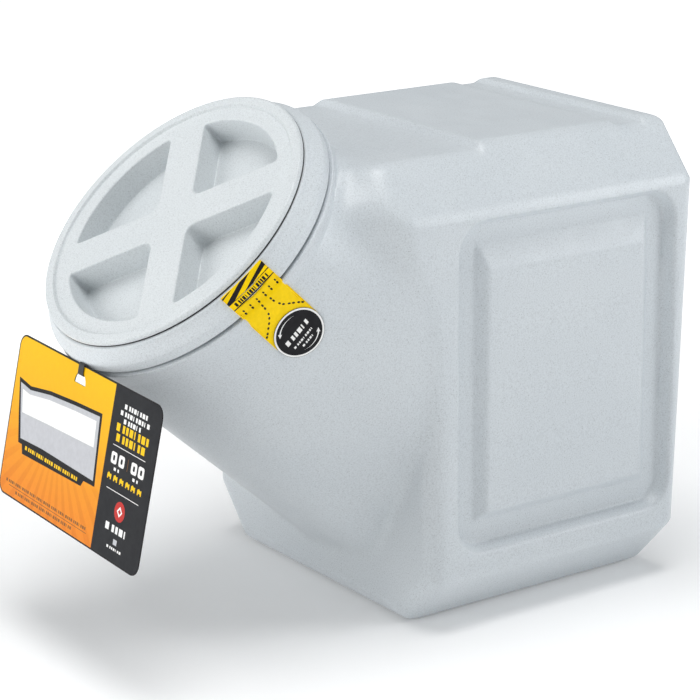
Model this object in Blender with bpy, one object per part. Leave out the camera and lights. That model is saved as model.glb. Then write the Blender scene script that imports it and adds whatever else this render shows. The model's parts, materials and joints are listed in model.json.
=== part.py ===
"""Blow-moulded storage bin with a forward-tilted round neck and a spin-on screw lid.

Metres, +Z up, the neck points to -Y. The origin is the centre of the flat base.
"""
import math

import bmesh
import bpy
from mathutils import Matrix, Vector
from mathutils.bvhtree import BVHTree

# Container box: an octagonal section that runs front to back.
BASE_LEN = 0.292
TOP_LEN = 0.309
HEIGHT = 0.429
BASE_HALF = 0.130
TOP_HALF = 0.120
WAIST_LOW_Z = 0.050
WAIST_HIGH_Z = 0.379
WAIST_LOW_HALF = 0.1735
WAIST_HIGH_HALF = 0.1655
EDGE_R = 0.023
END_R = 0.019
RIM_STEPS = 4
WALL = 0.003
FRONT_Y = -BASE_LEN / 2
SHOULDER_Z = 0.318
SHOULDER_REACH = 0.035
SHOULDER_TOP_REACH = 0.030
TOP_BLEND = 0.045
SHOULDER_INSET = 0.002
SHOULDER_RAMP = 0.030
TOP_PLANE_Z = 0.419
MIN_FILLET = 0.003

# Columns of the half section: the ones on each straight run, and the three on each fillet.
RUN_COLS = (5, 1, 7, 1, 5)
FILLET_COLS = 3
BASE_COL, LOW_COL, HIGH_COL, TOP_COL = (sum(RUN_COLS[:k + 1]) + FILLET_COLS * k + 2 for k in range(4))
LAST_COL = sum(RUN_COLS) + FILLET_COLS * 4 + 1

# Neck axis: the lid's top plane has this centre and leans back by this angle.
LID_Y = FRONT_Y - 0.1572
LID_Z = 0.3722
LID_TILT = math.radians(47.2)
COLLAR_R = 0.1335
COLLAR_TOP = 0.0145
BEAD_R = 0.1347
BEAD_TOP = 0.0168
BEAD_LOW = 0.0208
FLANGE_R = 0.1470
FLANGE_TOP = 0.0312
FLANGE_LOW = 0.0372
NECK_R = 0.1445
NECK_START = 0.0420

# Neck foot on the front face, as (x, z); above MERGE_Z the flank runs out into the shoulder.
FOOT_Z = 0.041
FOOT_CORNER = (0.094, 0.060)
FOOT_KNEE = (0.113, 0.100)
FOOT_FLANK = (0.1615, 0.200)
MERGE_Z = 0.290
FACE_MIDDLE = (0.0, 0.235)
FOOT_GAP = 0.0012

# Turn about the neck axis at which each corner of the section meets the round neck.
NECK_TURNS = {"base": -53.0, "low": -38.0, "flank": 0.0, "merge": 22.0, "high": 43.0, "top": 61.0}

# Snap ring.
RING_TOP = 0.0062
RING_LIP_R = 0.1370
RING_R = 0.1452
RING_LOW = 0.0287
BARREL_OUT_R = 0.1262
BARREL_R = 0.1206
BARREL_LOW = 0.0360
SEAT_R = 0.1285
SEAT_DEPTH = 0.0092

# Lid.
LID_R = 0.1350
BAND_R = 0.1245
DISC_DEPTH = 0.0026
LID_EDGE = 0.0050
DISC_UNDER = 0.0062
SKIRT_R = 0.1170
SKIRT_IN_R = 0.1136
SKIRT_LOW = 0.0340
ARM_HALF = 0.0185
ARM_ANGLE = math.radians(39.5)
POCKET_R = 0.1095
POCKET_DEPTH = 0.0280
POCKET_FLOOR = 0.0025
POCKET_DRAFT = 0.0030
POCKET_INNER_R = 0.013
POCKET_OUTER_R = 0.004
WELL_WALL = 0.0027
CUT_LIFT = 0.004
THREAD_PHASE = math.radians(20)

# Double-start thread shared by the lid and the ring.
LEAD = 0.012
STARTS = 2
TOOTH = 0.0021
TOOTH_TIP = 0.0012
MALE_R = 0.1194
FEMALE_R = 0.1183
THREAD_TURNS = 0.85
MALE_FIRST = 0.0165
FEMALE_FIRST = 0.0225

# Side recess and its raised middle panel.
RECESS_Y = (FRONT_Y + 0.0285, FRONT_Y + 0.2805)
RECESS_Z = (0.070, 0.372)
RECESS_DEPTH = 0.012
RECESS_RUN = 0.009
RECESS_R = 0.030
PANEL_Y = (FRONT_Y + 0.072, FRONT_Y + 0.242)
PANEL_Z = (0.109, 0.331)
PANEL_DEPTH = 0.003
PANEL_RUN = 0.012
PANEL_R = 0.010

# Stacking steps across the top.
STEP_Y = FRONT_Y + 0.088
STEP_DROP = 0.006
STEP_RUN = 0.006
GROOVE_Y = (FRONT_Y + 0.242, FRONT_Y + 0.279)
GROOVE_DROP = 0.0045
GROOVE_RUN = 0.007

# Seals.
RING_SEAL_R = 0.1322
RING_SEAL_W = 0.0042
RING_SEAL_TOP = 0.0118
RING_SEAL_H = 0.0023
LID_SEAL_R = 0.1245
LID_SEAL_TUBE = 0.0017
LID_SEAL_DEPTH = 0.0071

# Seal tape and round sticker; the tape slants by an angle per metre of depth.
TAPE_W = 0.0456
TAPE_ANGLE = math.radians(-12.1)
TAPE_SLANT = math.radians(24.7)
TAPE_T = 0.00035
TAPE_LIFT = 0.0004
TAPE_REST = 0.052
TAPE_END = 0.0780
STICKER_R = 0.0225
STICKER_T = 0.0004
STICKER_LIFT = 0.0011
STICKER_DEPTH = 0.0789
STICKER_ANGLE = math.radians(-10.3)

# Hang tag and its tie.
TAG_W = 0.2553
TAG_H = 0.1447
TAG_T = 0.0009
TAG_R = 0.011
TAG_TOP = Vector((0.0205, FRONT_Y - 0.2511, 0.2575))
TAG_YAW = math.radians(-2.8)
TAG_LEAN = math.radians(11.4)
TAG_HOLE_X = -0.0126
TAG_HOLE_LOW = 0.0172
TAG_HOLE_W = 0.0196
TAG_HOLE_H = 0.0106
TIE_V = 0.0082
TIE_W = 0.0090
TIE_T = 0.0005
TIE_GAP = 0.0006
TIE_PIN_RADIUS = 0.1462
TIE_PIN_DEPTH = (RING_LOW + FLANGE_TOP) / 2

RING_STEPS = 64
SOFT = 0.0008

UP = Vector((0, math.sin(LID_TILT), math.cos(LID_TILT)))
OUT = Vector((0, -math.cos(LID_TILT), math.sin(LID_TILT)))
LID_CENTRE = Vector((0, LID_Y, LID_Z))


def clear_scene():
    for obj in list(bpy.data.objects):
        bpy.data.objects.remove(obj, do_unlink=True)


def material(name, colour, rough):
    mat = bpy.data.materials.new(name)
    mat.use_nodes = True
    bsdf = mat.node_tree.nodes["Principled BSDF"]
    bsdf.inputs["Base Color"].default_value = (*colour, 1)
    bsdf.inputs["Roughness"].default_value = rough
    mat.diffuse_color = (*colour, 1)
    return mat


def mesh_object(name, bm, mat=None):
    bmesh.ops.recalc_face_normals(bm, faces=bm.faces)
    mesh = bpy.data.meshes.new(name)
    bm.to_mesh(mesh)
    bm.free()
    obj = bpy.data.objects.new(name, mesh)
    bpy.context.scene.collection.objects.link(obj)
    if mat:
        mesh.materials.append(mat)
    return obj


def boolean(obj, cutter, operation):
    mod = obj.modifiers.new("cut", "BOOLEAN")
    mod.operation = operation
    mod.solver = "EXACT"
    mod.object = cutter
    apply_modifiers(obj)
    bpy.data.objects.remove(cutter, do_unlink=True)


def apply_modifiers(obj):
    bpy.context.view_layer.update()
    depsgraph = bpy.context.evaluated_depsgraph_get()
    mesh = bpy.data.meshes.new_from_object(obj.evaluated_get(depsgraph))
    obj.modifiers.clear()
    old = obj.data
    obj.data = mesh
    bpy.data.meshes.remove(old)


def set_origin(obj, point):
    """Put an object's origin on its joint axis and leave its surface where it is."""
    obj.data.transform(Matrix.Translation(-point))
    obj.location = point


def smooth(obj, degrees=32.0):
    for poly in obj.data.polygons:
        poly.use_smooth = True
    obj.data.set_sharp_from_angle(angle=math.radians(degrees))


def neck_point(radius, angle, depth):
    """A point at a radius and angle about the neck axis, at a depth under the lid's top plane."""
    radial = Vector((math.cos(angle), 0, 0)) + UP * math.sin(angle)
    return LID_CENTRE - OUT * depth + radial * radius


def skin(loops):
    """A closed body through loops of equal length."""
    bm = bmesh.new()
    rows = [[bm.verts.new(p) for p in loop] for loop in loops]
    count = len(rows[0])
    for a, b in zip(rows, rows[1:]):
        for i in range(count):
            j = (i + 1) % count
            bm.faces.new((a[i], a[j], b[j], b[i]))
    bm.faces.new(rows[0])
    bm.faces.new(rows[-1])
    return bm


def lathe(profile, steps=RING_STEPS):
    """A solid of revolution about the neck axis from a closed (radius, depth) profile."""
    bm = bmesh.new()
    rows = []
    for radius, depth in profile:
        if radius < 1e-6:
            rows.append([bm.verts.new(neck_point(0, 0, depth))])
        else:
            rows.append([bm.verts.new(neck_point(radius, 2 * math.pi * i / steps, depth))
                         for i in range(steps)])
    closed = profile[0][0] > 1e-6 and profile[-1][0] > 1e-6
    pairs = list(zip(rows, rows[1:]))
    if closed:
        pairs.append((rows[-1], rows[0]))
    for a, b in pairs:
        for i in range(steps):
            j = (i + 1) % steps
            if len(a) == 1 and len(b) == 1:
                continue
            if len(a) == 1:
                bm.faces.new((a[0], b[j], b[i]))
            elif len(b) == 1:
                bm.faces.new((a[i], a[j], b[0]))
            else:
                bm.faces.new((a[i], a[j], b[j], b[i]))
    return bm


# ---------------------------------------------------------------- container

def half_width(z):
    t = (z - WAIST_LOW_Z) / (WAIST_HIGH_Z - WAIST_LOW_Z)
    return WAIST_LOW_HALF + (WAIST_HIGH_HALF - WAIST_LOW_HALF) * t


def rear_y(z):
    return FRONT_Y + BASE_LEN + (TOP_LEN - BASE_LEN) * z / HEIGHT


def front_y(x, z):
    """Front edge of the box: straight at the foot, reaching forward at the shoulders."""
    if z <= SHOULDER_Z:
        return FRONT_Y
    if z < WAIST_HIGH_Z:
        t = (z - SHOULDER_Z) / (WAIST_HIGH_Z - SHOULDER_Z)
        return FRONT_Y - SHOULDER_REACH * t
    t = (z - WAIST_HIGH_Z) / (HEIGHT - WAIST_HIGH_Z)
    reach = SHOULDER_REACH + (SHOULDER_TOP_REACH - SHOULDER_REACH) * min(t, 1)
    across = min(abs(x) / TOP_HALF, 1)
    blend = (1 - across ** 2) * (TOP_BLEND + SHOULDER_TOP_REACH)
    return FRONT_Y - reach + (blend if z > TOP_PLANE_Z else 0)


def arc_points(corner, before, after, radius, count):
    """Points of a fillet between two straight edges that meet at a corner."""
    a = (Vector(before) - Vector(corner)).normalized()
    b = (Vector(after) - Vector(corner)).normalized()
    half = a.angle(b) / 2
    reach = radius / math.tan(half)
    centre = Vector(corner) + (a + b).normalized() * (radius / math.sin(half))
    start = Vector(corner) + a * reach - centre
    end = Vector(corner) + b * reach - centre
    sweep = start.angle(end)
    points = []
    for i in range(count):
        t = i / (count - 1)
        s1 = math.sin((1 - t) * sweep) / math.sin(sweep)
        s2 = math.sin(t * sweep) / math.sin(sweep)
        points.append(centre + start * s1 + end * s2)
    return points


def half_section(inset):
    """Right half of the octagonal section, bottom centre to top centre, as (x, z) points."""
    low_run = WAIST_LOW_HALF - BASE_HALF
    high_run = WAIST_HIGH_HALF - TOP_HALF
    low = math.hypot(low_run, WAIST_LOW_Z)
    high = math.hypot(high_run, HEIGHT - WAIST_HIGH_Z)
    low_shift = inset * (low - WAIST_LOW_Z) / low_run
    low_side = inset * (low - low_run) / WAIST_LOW_Z
    high_shift = inset * (high - (HEIGHT - WAIST_HIGH_Z)) / high_run
    high_side = inset * (high - high_run) / (HEIGHT - WAIST_HIGH_Z)
    corners = [(0, inset), (BASE_HALF - low_shift, inset),
               (WAIST_LOW_HALF - inset, WAIST_LOW_Z + low_side),
               (WAIST_HIGH_HALF - inset, WAIST_HIGH_Z - high_side),
               (TOP_HALF - high_shift, HEIGHT - inset), (0, HEIGHT - inset)]
    radius = max(EDGE_R - inset, MIN_FILLET)
    points = [Vector(corners[0])]
    for k, run in enumerate(RUN_COLS):
        start = points[-1]
        ends = [Vector(corners[5])]
        if k < 4:
            ends = arc_points(corners[k + 1], corners[k], corners[k + 2], radius, FILLET_COLS)
        for i in range(1, run + 1):
            points.append(start.lerp(ends[0], i / (run + 1)))
        points.extend(ends)
    return points


def mirror_loop(half):
    """Full loop from right-half points whose first and last lie on the mid-plane."""
    left = [Vector((-p.x, p.y, p.z)) for p in reversed(half[1:-1])]
    return [Vector(p) for p in half] + left


def catmull(keys, t):
    """Smooth value through (t, vector) keys."""
    i = 1
    while i < len(keys) - 1 and keys[i][0] < t:
        i += 1
    t0, p0 = keys[i - 1]
    t1, p1 = keys[i]
    u = (t - t0) / (t1 - t0)
    before = keys[i - 2] if i > 1 else (2 * t0 - t1, p0 * 2 - p1)
    after = keys[i + 1] if i < len(keys) - 1 else (2 * t1 - t0, p1 * 2 - p0)
    m0 = (p1 - before[1]) / (t1 - before[0]) * (t1 - t0)
    m1 = (after[1] - p0) / (after[0] - t0) * (t1 - t0)
    h00 = 2 * u ** 3 - 3 * u ** 2 + 1
    h10 = u ** 3 - 2 * u ** 2 + u
    h01 = -2 * u ** 3 + 3 * u ** 2
    h11 = u ** 3 - u ** 2
    return p0 * h00 + m0 * h10 + p1 * h01 + m1 * h11


def linear(keys, t):
    for (t0, v0), (t1, v1) in zip(keys, keys[1:]):
        if t <= t1:
            return v0 + (v1 - v0) * (t - t0) / (t1 - t0)
    return keys[-1][1]


def top_share(c):
    """How far a column follows the stacking steps: none at the chamfers, all of it on the flat."""
    return min(max((c - TOP_COL) / 2, 0.0), 1.0)


def top_stations(inset):
    """Rows along the top as (y, drop): the front step, then the rear groove."""
    return [(STEP_Y - STEP_RUN + inset, STEP_DROP), (STEP_Y + inset, 0.0),
            (GROOVE_Y[0] - inset, 0.0), (GROOVE_Y[0] + GROOVE_RUN - inset, GROOVE_DROP),
            (GROOVE_Y[1] - GROOVE_RUN * 0.6 + inset, GROOVE_DROP), (GROOVE_Y[1] + inset, 0.0)]


def waist_col(z):
    """Column, as a fraction, of a height on the side wall."""
    return linear([(WAIST_LOW_Z, float(LOW_COL)), (WAIST_HIGH_Z, float(HIGH_COL))], z)


def neck_angles():
    """Turn about the neck axis for each column of the half section."""
    keys = [(0.0, -90.0), (BASE_COL, NECK_TURNS["base"]), (LOW_COL, NECK_TURNS["low"]),
            (waist_col(FOOT_FLANK[1]), NECK_TURNS["flank"]), (waist_col(MERGE_Z), NECK_TURNS["merge"]),
            (HIGH_COL, NECK_TURNS["high"]), (TOP_COL, NECK_TURNS["top"]), (LAST_COL, 90.0)]
    return [math.radians(linear(keys, c)) for c in range(LAST_COL + 1)]


def toward_middle(q, amount):
    """Move a front-face point toward the middle of the face."""
    return q + (Vector(FACE_MIDDLE) - q).normalized() * amount


def foot_line(half, inset):
    """Where the neck leaves the box: a curve on the front face, then along the shoulder's edge."""
    merge = waist_col(MERGE_Z)
    keys = [
        (0.0, Vector((0, FOOT_Z))),
        (BASE_COL - 1.5, Vector((FOOT_CORNER[0] * 0.83, FOOT_CORNER[1] - 0.007))),
        (float(BASE_COL), Vector(FOOT_CORNER)),
        (float(LOW_COL), Vector(FOOT_KNEE)),
        (waist_col(FOOT_FLANK[1]), Vector(FOOT_FLANK)),
        (merge, Vector((half_width(MERGE_Z) - SHOULDER_INSET, MERGE_Z))),
    ]
    line = []
    for c, p in enumerate(half):
        if c < merge:
            q = toward_middle(catmull(keys, c), inset)
            y = FRONT_Y + inset
        else:
            q = toward_middle(Vector((p.x, p.y)), SHOULDER_INSET)
            y = front_edge(p, inset) - 0.0005
        line.append(Vector((q.x, y, q.y - STEP_DROP * top_share(c))))
    return line


def front_edge(p, inset):
    """Front edge of a skin at a section point; the sloping shoulder needs twice the inset."""
    shoulder = min(max((p.y - SHOULDER_Z) / SHOULDER_RAMP, 0.0), 1.0)
    return front_y(p.x, p.y) + inset * (1 + shoulder)


def front_rim(half, foot, inset):
    """Rows from the front face round its rim, outside the foot line."""
    merge = waist_col(MERGE_Z)
    fade_keys = [(0.0, 1.0), (waist_col(FOOT_FLANK[1]), 1.0), (HIGH_COL - 1, 0.12), (LAST_COL, 0.12)]
    rows = []
    for step in range(RIM_STEPS):
        turn = math.radians(90.0 * step / (RIM_STEPS - 1))
        row = []
        for c, p in enumerate(half):
            radius = max((END_R - inset) * linear(fade_keys, c), MIN_FILLET / 2)
            q = inward_section(half, c, radius * (1 - math.sin(turn)))
            if c < merge:
                q = outside_of(q, foot[c], FOOT_GAP)
            y = front_edge(p, inset) + radius * (1 - math.cos(turn))
            row.append(Vector((q.x, y, q.y - STEP_DROP * top_share(c))))
        rows.append(mirror_loop(row))
    return rows


def middle_rows(half, inset):
    """Rows along the straight run, which carry the stacking steps across the top."""
    rows = []
    for y, drop in top_stations(inset):
        row = []
        for c, p in enumerate(half):
            fit = (rear_y(p.y) - FRONT_Y) / TOP_LEN
            row.append(Vector((p.x, FRONT_Y + (y - FRONT_Y) * fit, p.y - drop * top_share(c))))
        rows.append(mirror_loop(row))
    return rows


def rear_rim(half, inset):
    """Rows round the rear rim to the rear wall."""
    radius = END_R - inset
    rows = []
    for step in reversed(range(RIM_STEPS)):
        turn = math.radians(90.0 * step / (RIM_STEPS - 1))
        row = []
        for c in range(len(half)):
            q = inward_section(half, c, radius * (1 - math.sin(turn)))
            row.append(Vector((q.x, rear_y(q.y) - inset - radius * (1 - math.cos(turn)), q.y)))
        rows.append(mirror_loop(row))
    return rows


def container_loops(inset):
    """Loops of the container's skin, from the round neck back to the rear wall."""
    half = half_section(inset)
    angles = neck_angles()
    foot = foot_line(half, inset)
    radius = NECK_R - inset
    start = [neck_point(radius, a, NECK_START + inset * 0.5) for a in angles]
    lip = [neck_point(radius + SOFT, a, NECK_START - 0.003 + inset * 0.5) for a in angles]
    loops = [mirror_loop(lip), mirror_loop(start)]
    for t in (0.34, 0.67):
        loops.append(mirror_loop([a.lerp(b, t) for a, b in zip(start, foot)]))
    loops.append(mirror_loop(foot))
    return loops + front_rim(half, foot, inset) + middle_rows(half, inset) + rear_rim(half, inset)


def inward_section(half, c, amount):
    """Move a section point inward along the section's normal."""
    p = half[c]
    before = half[c - 1] if c > 0 else Vector((-half[1].x, half[1].y))
    after = half[c + 1] if c < len(half) - 1 else Vector((-half[-2].x, half[-2].y))
    t = (after - before).normalized()
    q = p + Vector((-t.y, t.x)) * amount
    return Vector((max(q.x, 0.0), q.y)) if 0 < c < len(half) - 1 else Vector((0.0, q.y))


def outside_of(q, crease, gap):
    """Keep a front-face point at least a gap outside the neck's foot line."""
    centre = Vector(FACE_MIDDLE)
    foot = Vector((crease.x, crease.z))
    reach = (q - centre).length
    limit = (foot - centre).length + gap
    if reach >= limit:
        return q
    return centre + (q - centre).normalized() * limit


def outer_skin():
    """Collar, bead and flange of the neck, then the container's outside."""
    flange_edge = FLANGE_R - SOFT
    collar = [(COLLAR_R - 0.0006, COLLAR_TOP), (COLLAR_R, COLLAR_TOP + 0.0006),
              (COLLAR_R, BEAD_TOP), (BEAD_R, BEAD_TOP + 0.0012), (BEAD_R, BEAD_LOW - 0.0012),
              (COLLAR_R, BEAD_LOW), (COLLAR_R, FLANGE_TOP), (flange_edge, FLANGE_TOP),
              (FLANGE_R, FLANGE_TOP + SOFT), (FLANGE_R, FLANGE_LOW - 0.0020), (flange_edge, FLANGE_LOW)]
    angles = neck_angles()
    rows = [mirror_loop([neck_point(r, a, s) for a in angles]) for r, s in collar]
    return skin(rows + container_loops(0.0))


def inner_skin():
    """The hollow: the throat inside the collar, then the container's inside."""
    throat = [(COLLAR_R - WALL, COLLAR_TOP - 0.006), (COLLAR_R - WALL, FLANGE_TOP + 0.002),
              (NECK_R - WALL - 0.0015, FLANGE_LOW)]
    angles = neck_angles()
    rows = [mirror_loop([neck_point(r, a, s) for a in angles]) for r, s in throat]
    return skin(rows + container_loops(WALL))


def rounded_rect(y0, y1, z0, z1, radius, steps=4):
    points = []
    for cy, cz, turn in ((y1 - radius, z1 - radius, 0), (y0 + radius, z1 - radius, 1),
                         (y0 + radius, z0 + radius, 2), (y1 - radius, z0 + radius, 3)):
        for i in range(steps + 1):
            a = math.radians(90.0 * (turn + i / steps))
            points.append((cy + radius * math.cos(a), cz + radius * math.sin(a)))
    return points


def side_block(side, levels):
    """A tapered block on a side wall; each level is (depth, y range, z range, radius)."""
    loops = []
    for depth, ys, zs, radius in levels:
        outline = rounded_rect(ys[0], ys[1], zs[0], zs[1], radius)
        loops.append([Vector((side * (half_width(z) - depth), y, z)) for y, z in outline])
    return mesh_object("side_block", skin(loops))


def grow(span, amount):
    return (span[0] - amount, span[1] + amount)


def shape_sides(obj, wall):
    """Recess both side walls and raise the middle panel; wall is the skin's inset."""
    slope = RECESS_RUN / RECESS_DEPTH
    for side in (1, -1):
        floor = RECESS_DEPTH + wall
        top_grow = slope * CUT_LIFT + wall
        cut = side_block(side, [
            (-CUT_LIFT, grow(RECESS_Y, top_grow), grow(RECESS_Z, top_grow), RECESS_R + wall),
            (floor, grow(RECESS_Y, wall - RECESS_RUN), grow(RECESS_Z, wall - RECESS_RUN),
             RECESS_R - RECESS_RUN * 0.6 + wall)])
        boolean(obj, cut, "DIFFERENCE")
        top = PANEL_DEPTH + wall
        base = floor + 0.002
        run = PANEL_RUN * (base - top) / (RECESS_DEPTH - PANEL_DEPTH)
        panel = side_block(side, [
            (top, grow(PANEL_Y, -wall), grow(PANEL_Z, -wall), PANEL_R),
            (base, grow(PANEL_Y, run - wall), grow(PANEL_Z, run - wall), PANEL_R + 0.004)])
        boolean(obj, panel, "UNION")


def build_container(mat):
    obj = mesh_object("container_body", outer_skin(), mat)
    hollow = mesh_object("hollow", inner_skin())
    for body, wall in ((obj, 0.0), (hollow, WALL)):
        shape_sides(body, wall)
    boolean(obj, hollow, "DIFFERENCE")
    smooth(obj)
    return obj


# ---------------------------------------------------------------- ring and seals

def thread_ridge(root_r, tip_r, first, phase):
    """One helical ridge; it runs from a first depth, deeper as it turns."""
    steps = int(48 * THREAD_TURNS)
    sink = math.copysign(0.0006, root_r - tip_r)
    loops = []
    for i in range(steps + 1):
        turn = THREAD_TURNS * i / steps
        angle = phase - 2 * math.pi * turn
        depth = first + LEAD * turn
        fade = min(1.0, 6.0 * min(turn, THREAD_TURNS - turn) + 0.15)
        tip = root_r + (tip_r - root_r) * fade
        section = [(root_r + sink, depth - TOOTH / 2), (tip, depth - TOOTH_TIP / 2),
                   (tip, depth + TOOTH_TIP / 2), (root_r + sink, depth + TOOTH / 2)]
        loops.append([neck_point(r, angle, s) for r, s in section])
    return mesh_object("ridge", skin(loops))


def build_ring(mat):
    profile = [
        (RING_LIP_R - 0.0015, RING_TOP), (RING_LIP_R, RING_TOP + 0.0010),
        (RING_LIP_R + 0.0009, 0.0096), (0.1392, 0.0135), (0.1428, 0.0165),
        (RING_R - 0.0004, 0.0190), (RING_R, 0.0215), (RING_R, RING_LOW - 0.0008),
        (RING_R - 0.0008, RING_LOW), (0.1370, RING_LOW), (0.1362, RING_LOW - 0.0010),
        (0.1362, 0.0148), (0.1352, 0.0114), (BARREL_OUT_R + 0.0010, 0.0114),
        (BARREL_OUT_R, 0.0126), (BARREL_OUT_R, BARREL_LOW - 0.0008),
        (BARREL_OUT_R - 0.0008, BARREL_LOW), (BARREL_R + 0.0008, BARREL_LOW),
        (BARREL_R, BARREL_LOW - 0.0008), (BARREL_R, SEAT_DEPTH + 0.0008),
        (BARREL_R + 0.0008, SEAT_DEPTH), (SEAT_R, SEAT_DEPTH), (SEAT_R + 0.0012, RING_TOP)]
    obj = mesh_object("snap_ring", lathe(profile), mat)
    for k in range(STARTS):
        phase = THREAD_PHASE + 2 * math.pi * k / STARTS
        boolean(obj, thread_ridge(BARREL_R, FEMALE_R, FEMALE_FIRST - LEAD / STARTS / 2, phase), "UNION")
    smooth(obj)
    return obj


def build_ring_seal(mat):
    r0 = RING_SEAL_R - RING_SEAL_W / 2
    r1 = RING_SEAL_R + RING_SEAL_W / 2
    s0 = RING_SEAL_TOP
    s1 = RING_SEAL_TOP + RING_SEAL_H
    c = 0.0005
    obj = mesh_object("ring_gasket", lathe([(r0, s0 + c), (r0 + c, s0), (r1 - c, s0), (r1, s0 + c),
                                            (r1, s1 - c), (r1 - c, s1), (r0 + c, s1), (r0, s1 - c)]), mat)
    smooth(obj)
    return obj


def build_lid_seal(mat):
    profile = [(LID_SEAL_R + LID_SEAL_TUBE * math.cos(math.radians(45 * i)),
                LID_SEAL_DEPTH + LID_SEAL_TUBE * math.sin(math.radians(45 * i))) for i in range(8)]
    obj = mesh_object("lid_gasket", lathe(profile), mat)
    smooth(obj, 60)
    set_origin(obj, LID_CENTRE)
    return obj


# ---------------------------------------------------------------- lid

def pocket_outline(arm, radius, inner_r, outer_r):
    """Outline of the pocket between two arms, in the frame where the arms lie on the axes."""
    far = math.sqrt(radius ** 2 - arm ** 2)
    inner = arc_points((arm, arm), (far, arm), (arm, far), inner_r, 6)
    points = list(reversed(inner))
    start = math.atan2(arm + outer_r, math.sqrt((radius - outer_r) ** 2 - (arm + outer_r) ** 2))
    for centre_angle, turn in ((start, 0), (math.pi / 2 - start, 1)):
        cx = (radius - outer_r) * math.cos(centre_angle)
        cy = (radius - outer_r) * math.sin(centre_angle)
        sweep0 = -math.pi / 2 if turn == 0 else centre_angle
        sweep1 = centre_angle if turn == 0 else math.pi
        for i in range(4):
            a = sweep0 + (sweep1 - sweep0) * i / 3
            points.append(Vector((cx + outer_r * math.cos(a), cy + outer_r * math.sin(a))))
        if turn == 0:
            for i in range(1, 10):
                a = start + (math.pi / 2 - 2 * start) * i / 10
                points.append(Vector((radius * math.cos(a), radius * math.sin(a))))
    return points


def pocket_block(quarter, levels):
    """A well for one pocket; each level is (depth, arm half-width, outer radius, corner radius)."""
    turn = ARM_ANGLE + quarter * math.pi / 2
    loops = []
    for depth, arm, radius, corner in levels:
        loop = []
        for p in pocket_outline(arm, radius, corner, POCKET_OUTER_R):
            a = math.atan2(p.y, p.x) + turn
            loop.append(neck_point(p.length, a, depth))
        loops.append(loop)
    return mesh_object("well", skin(loops))


def build_lid(mat):
    profile = [
        (0, DISC_DEPTH), (BAND_R - 0.0008, DISC_DEPTH), (BAND_R + 0.0006, 0.0006),
        (BAND_R + 0.0016, 0.0), (LID_R - 0.0022, 0.0), (LID_R - 0.0006, 0.0007),
        (LID_R, 0.0020), (LID_R, LID_EDGE - 0.0008), (LID_R - 0.0008, LID_EDGE),
        (SKIRT_R + 0.0030, LID_EDGE), (SKIRT_R, LID_EDGE + 0.0012),
        (SKIRT_R, SKIRT_LOW - 0.0008), (SKIRT_R - 0.0008, SKIRT_LOW),
        (SKIRT_IN_R + 0.0006, SKIRT_LOW), (SKIRT_IN_R, SKIRT_LOW - 0.0006),
        (SKIRT_IN_R, DISC_UNDER), (0, DISC_UNDER)]
    obj = mesh_object("spin_lid", lathe(profile), mat)
    floor = DISC_DEPTH + POCKET_DEPTH
    for quarter in range(4):
        well = pocket_block(quarter, [
            (DISC_UNDER - 0.0010, ARM_HALF - WELL_WALL, SKIRT_IN_R + 0.0012, POCKET_INNER_R + WELL_WALL),
            (floor + POCKET_FLOOR, ARM_HALF + POCKET_DRAFT - WELL_WALL, SKIRT_IN_R + 0.0010,
             POCKET_INNER_R + WELL_WALL)])
        boolean(obj, well, "UNION")
    for quarter in range(4):
        slope = POCKET_DRAFT / POCKET_DEPTH
        hollow = pocket_block(quarter, [
            (DISC_DEPTH - CUT_LIFT, ARM_HALF - slope * CUT_LIFT, POCKET_R + slope * CUT_LIFT,
             POCKET_INNER_R),
            (floor, ARM_HALF + POCKET_DRAFT, POCKET_R - POCKET_DRAFT, POCKET_INNER_R)])
        boolean(obj, hollow, "DIFFERENCE")
    for k in range(STARTS):
        phase = THREAD_PHASE + 2 * math.pi * k / STARTS
        boolean(obj, thread_ridge(SKIRT_R, MALE_R, MALE_FIRST, phase), "UNION")
    smooth(obj)
    set_origin(obj, LID_CENTRE)
    return obj


# ---------------------------------------------------------------- tape, sticker, tag

def neck_radius(tree, angle, depth):
    """Outer radius of the neck's skin at an angle and depth."""
    far = neck_point(0.40, angle, depth)
    axis = neck_point(0.0, angle, depth)
    hit = tree.ray_cast(far, (axis - far).normalized())
    return (hit[0] - axis).length


def sheet(rows_low, rows_high):
    """A thin closed sheet between two grids of points."""
    bm = bmesh.new()
    low = [[bm.verts.new(p) for p in row] for row in rows_low]
    high = [[bm.verts.new(p) for p in row] for row in rows_high]
    n = len(low)
    m = len(low[0])
    for i in range(n - 1):
        for j in range(m - 1):
            bm.faces.new((low[i][j], low[i + 1][j], low[i + 1][j + 1], low[i][j + 1]))
            bm.faces.new((high[i][j], high[i][j + 1], high[i + 1][j + 1], high[i + 1][j]))
    for i in range(n - 1):
        for j in (0, m - 1):
            bm.faces.new((low[i][j], low[i + 1][j], high[i + 1][j], high[i][j]))
    for j in range(m - 1):
        for i in (0, n - 1):
            bm.faces.new((low[i][j], low[i][j + 1], high[i][j + 1], high[i][j]))
    return bm


def tape_radius(tree, angle, depth):
    """Radius that the tape lies on: the ring's outside, a free span, then the neck."""
    ring = [(RING_TOP, RING_LIP_R), (0.0096, RING_LIP_R + 0.0009), (0.0135, 0.1394), (0.0165, 0.1430),
            (0.0190, RING_R - 0.0002), (0.0215, RING_R), (RING_LOW, RING_R)]
    if depth <= RING_LOW:
        return linear(ring, depth)
    rest = max(neck_radius(tree, angle, TAPE_REST), FLANGE_R)
    flange = [(RING_LOW, RING_R), (FLANGE_TOP, FLANGE_R + TAPE_T), (FLANGE_LOW, FLANGE_R + TAPE_T),
              (TAPE_REST, rest)]
    if depth < TAPE_REST:
        return linear(flange, depth)
    return neck_radius(tree, angle, depth)


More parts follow.
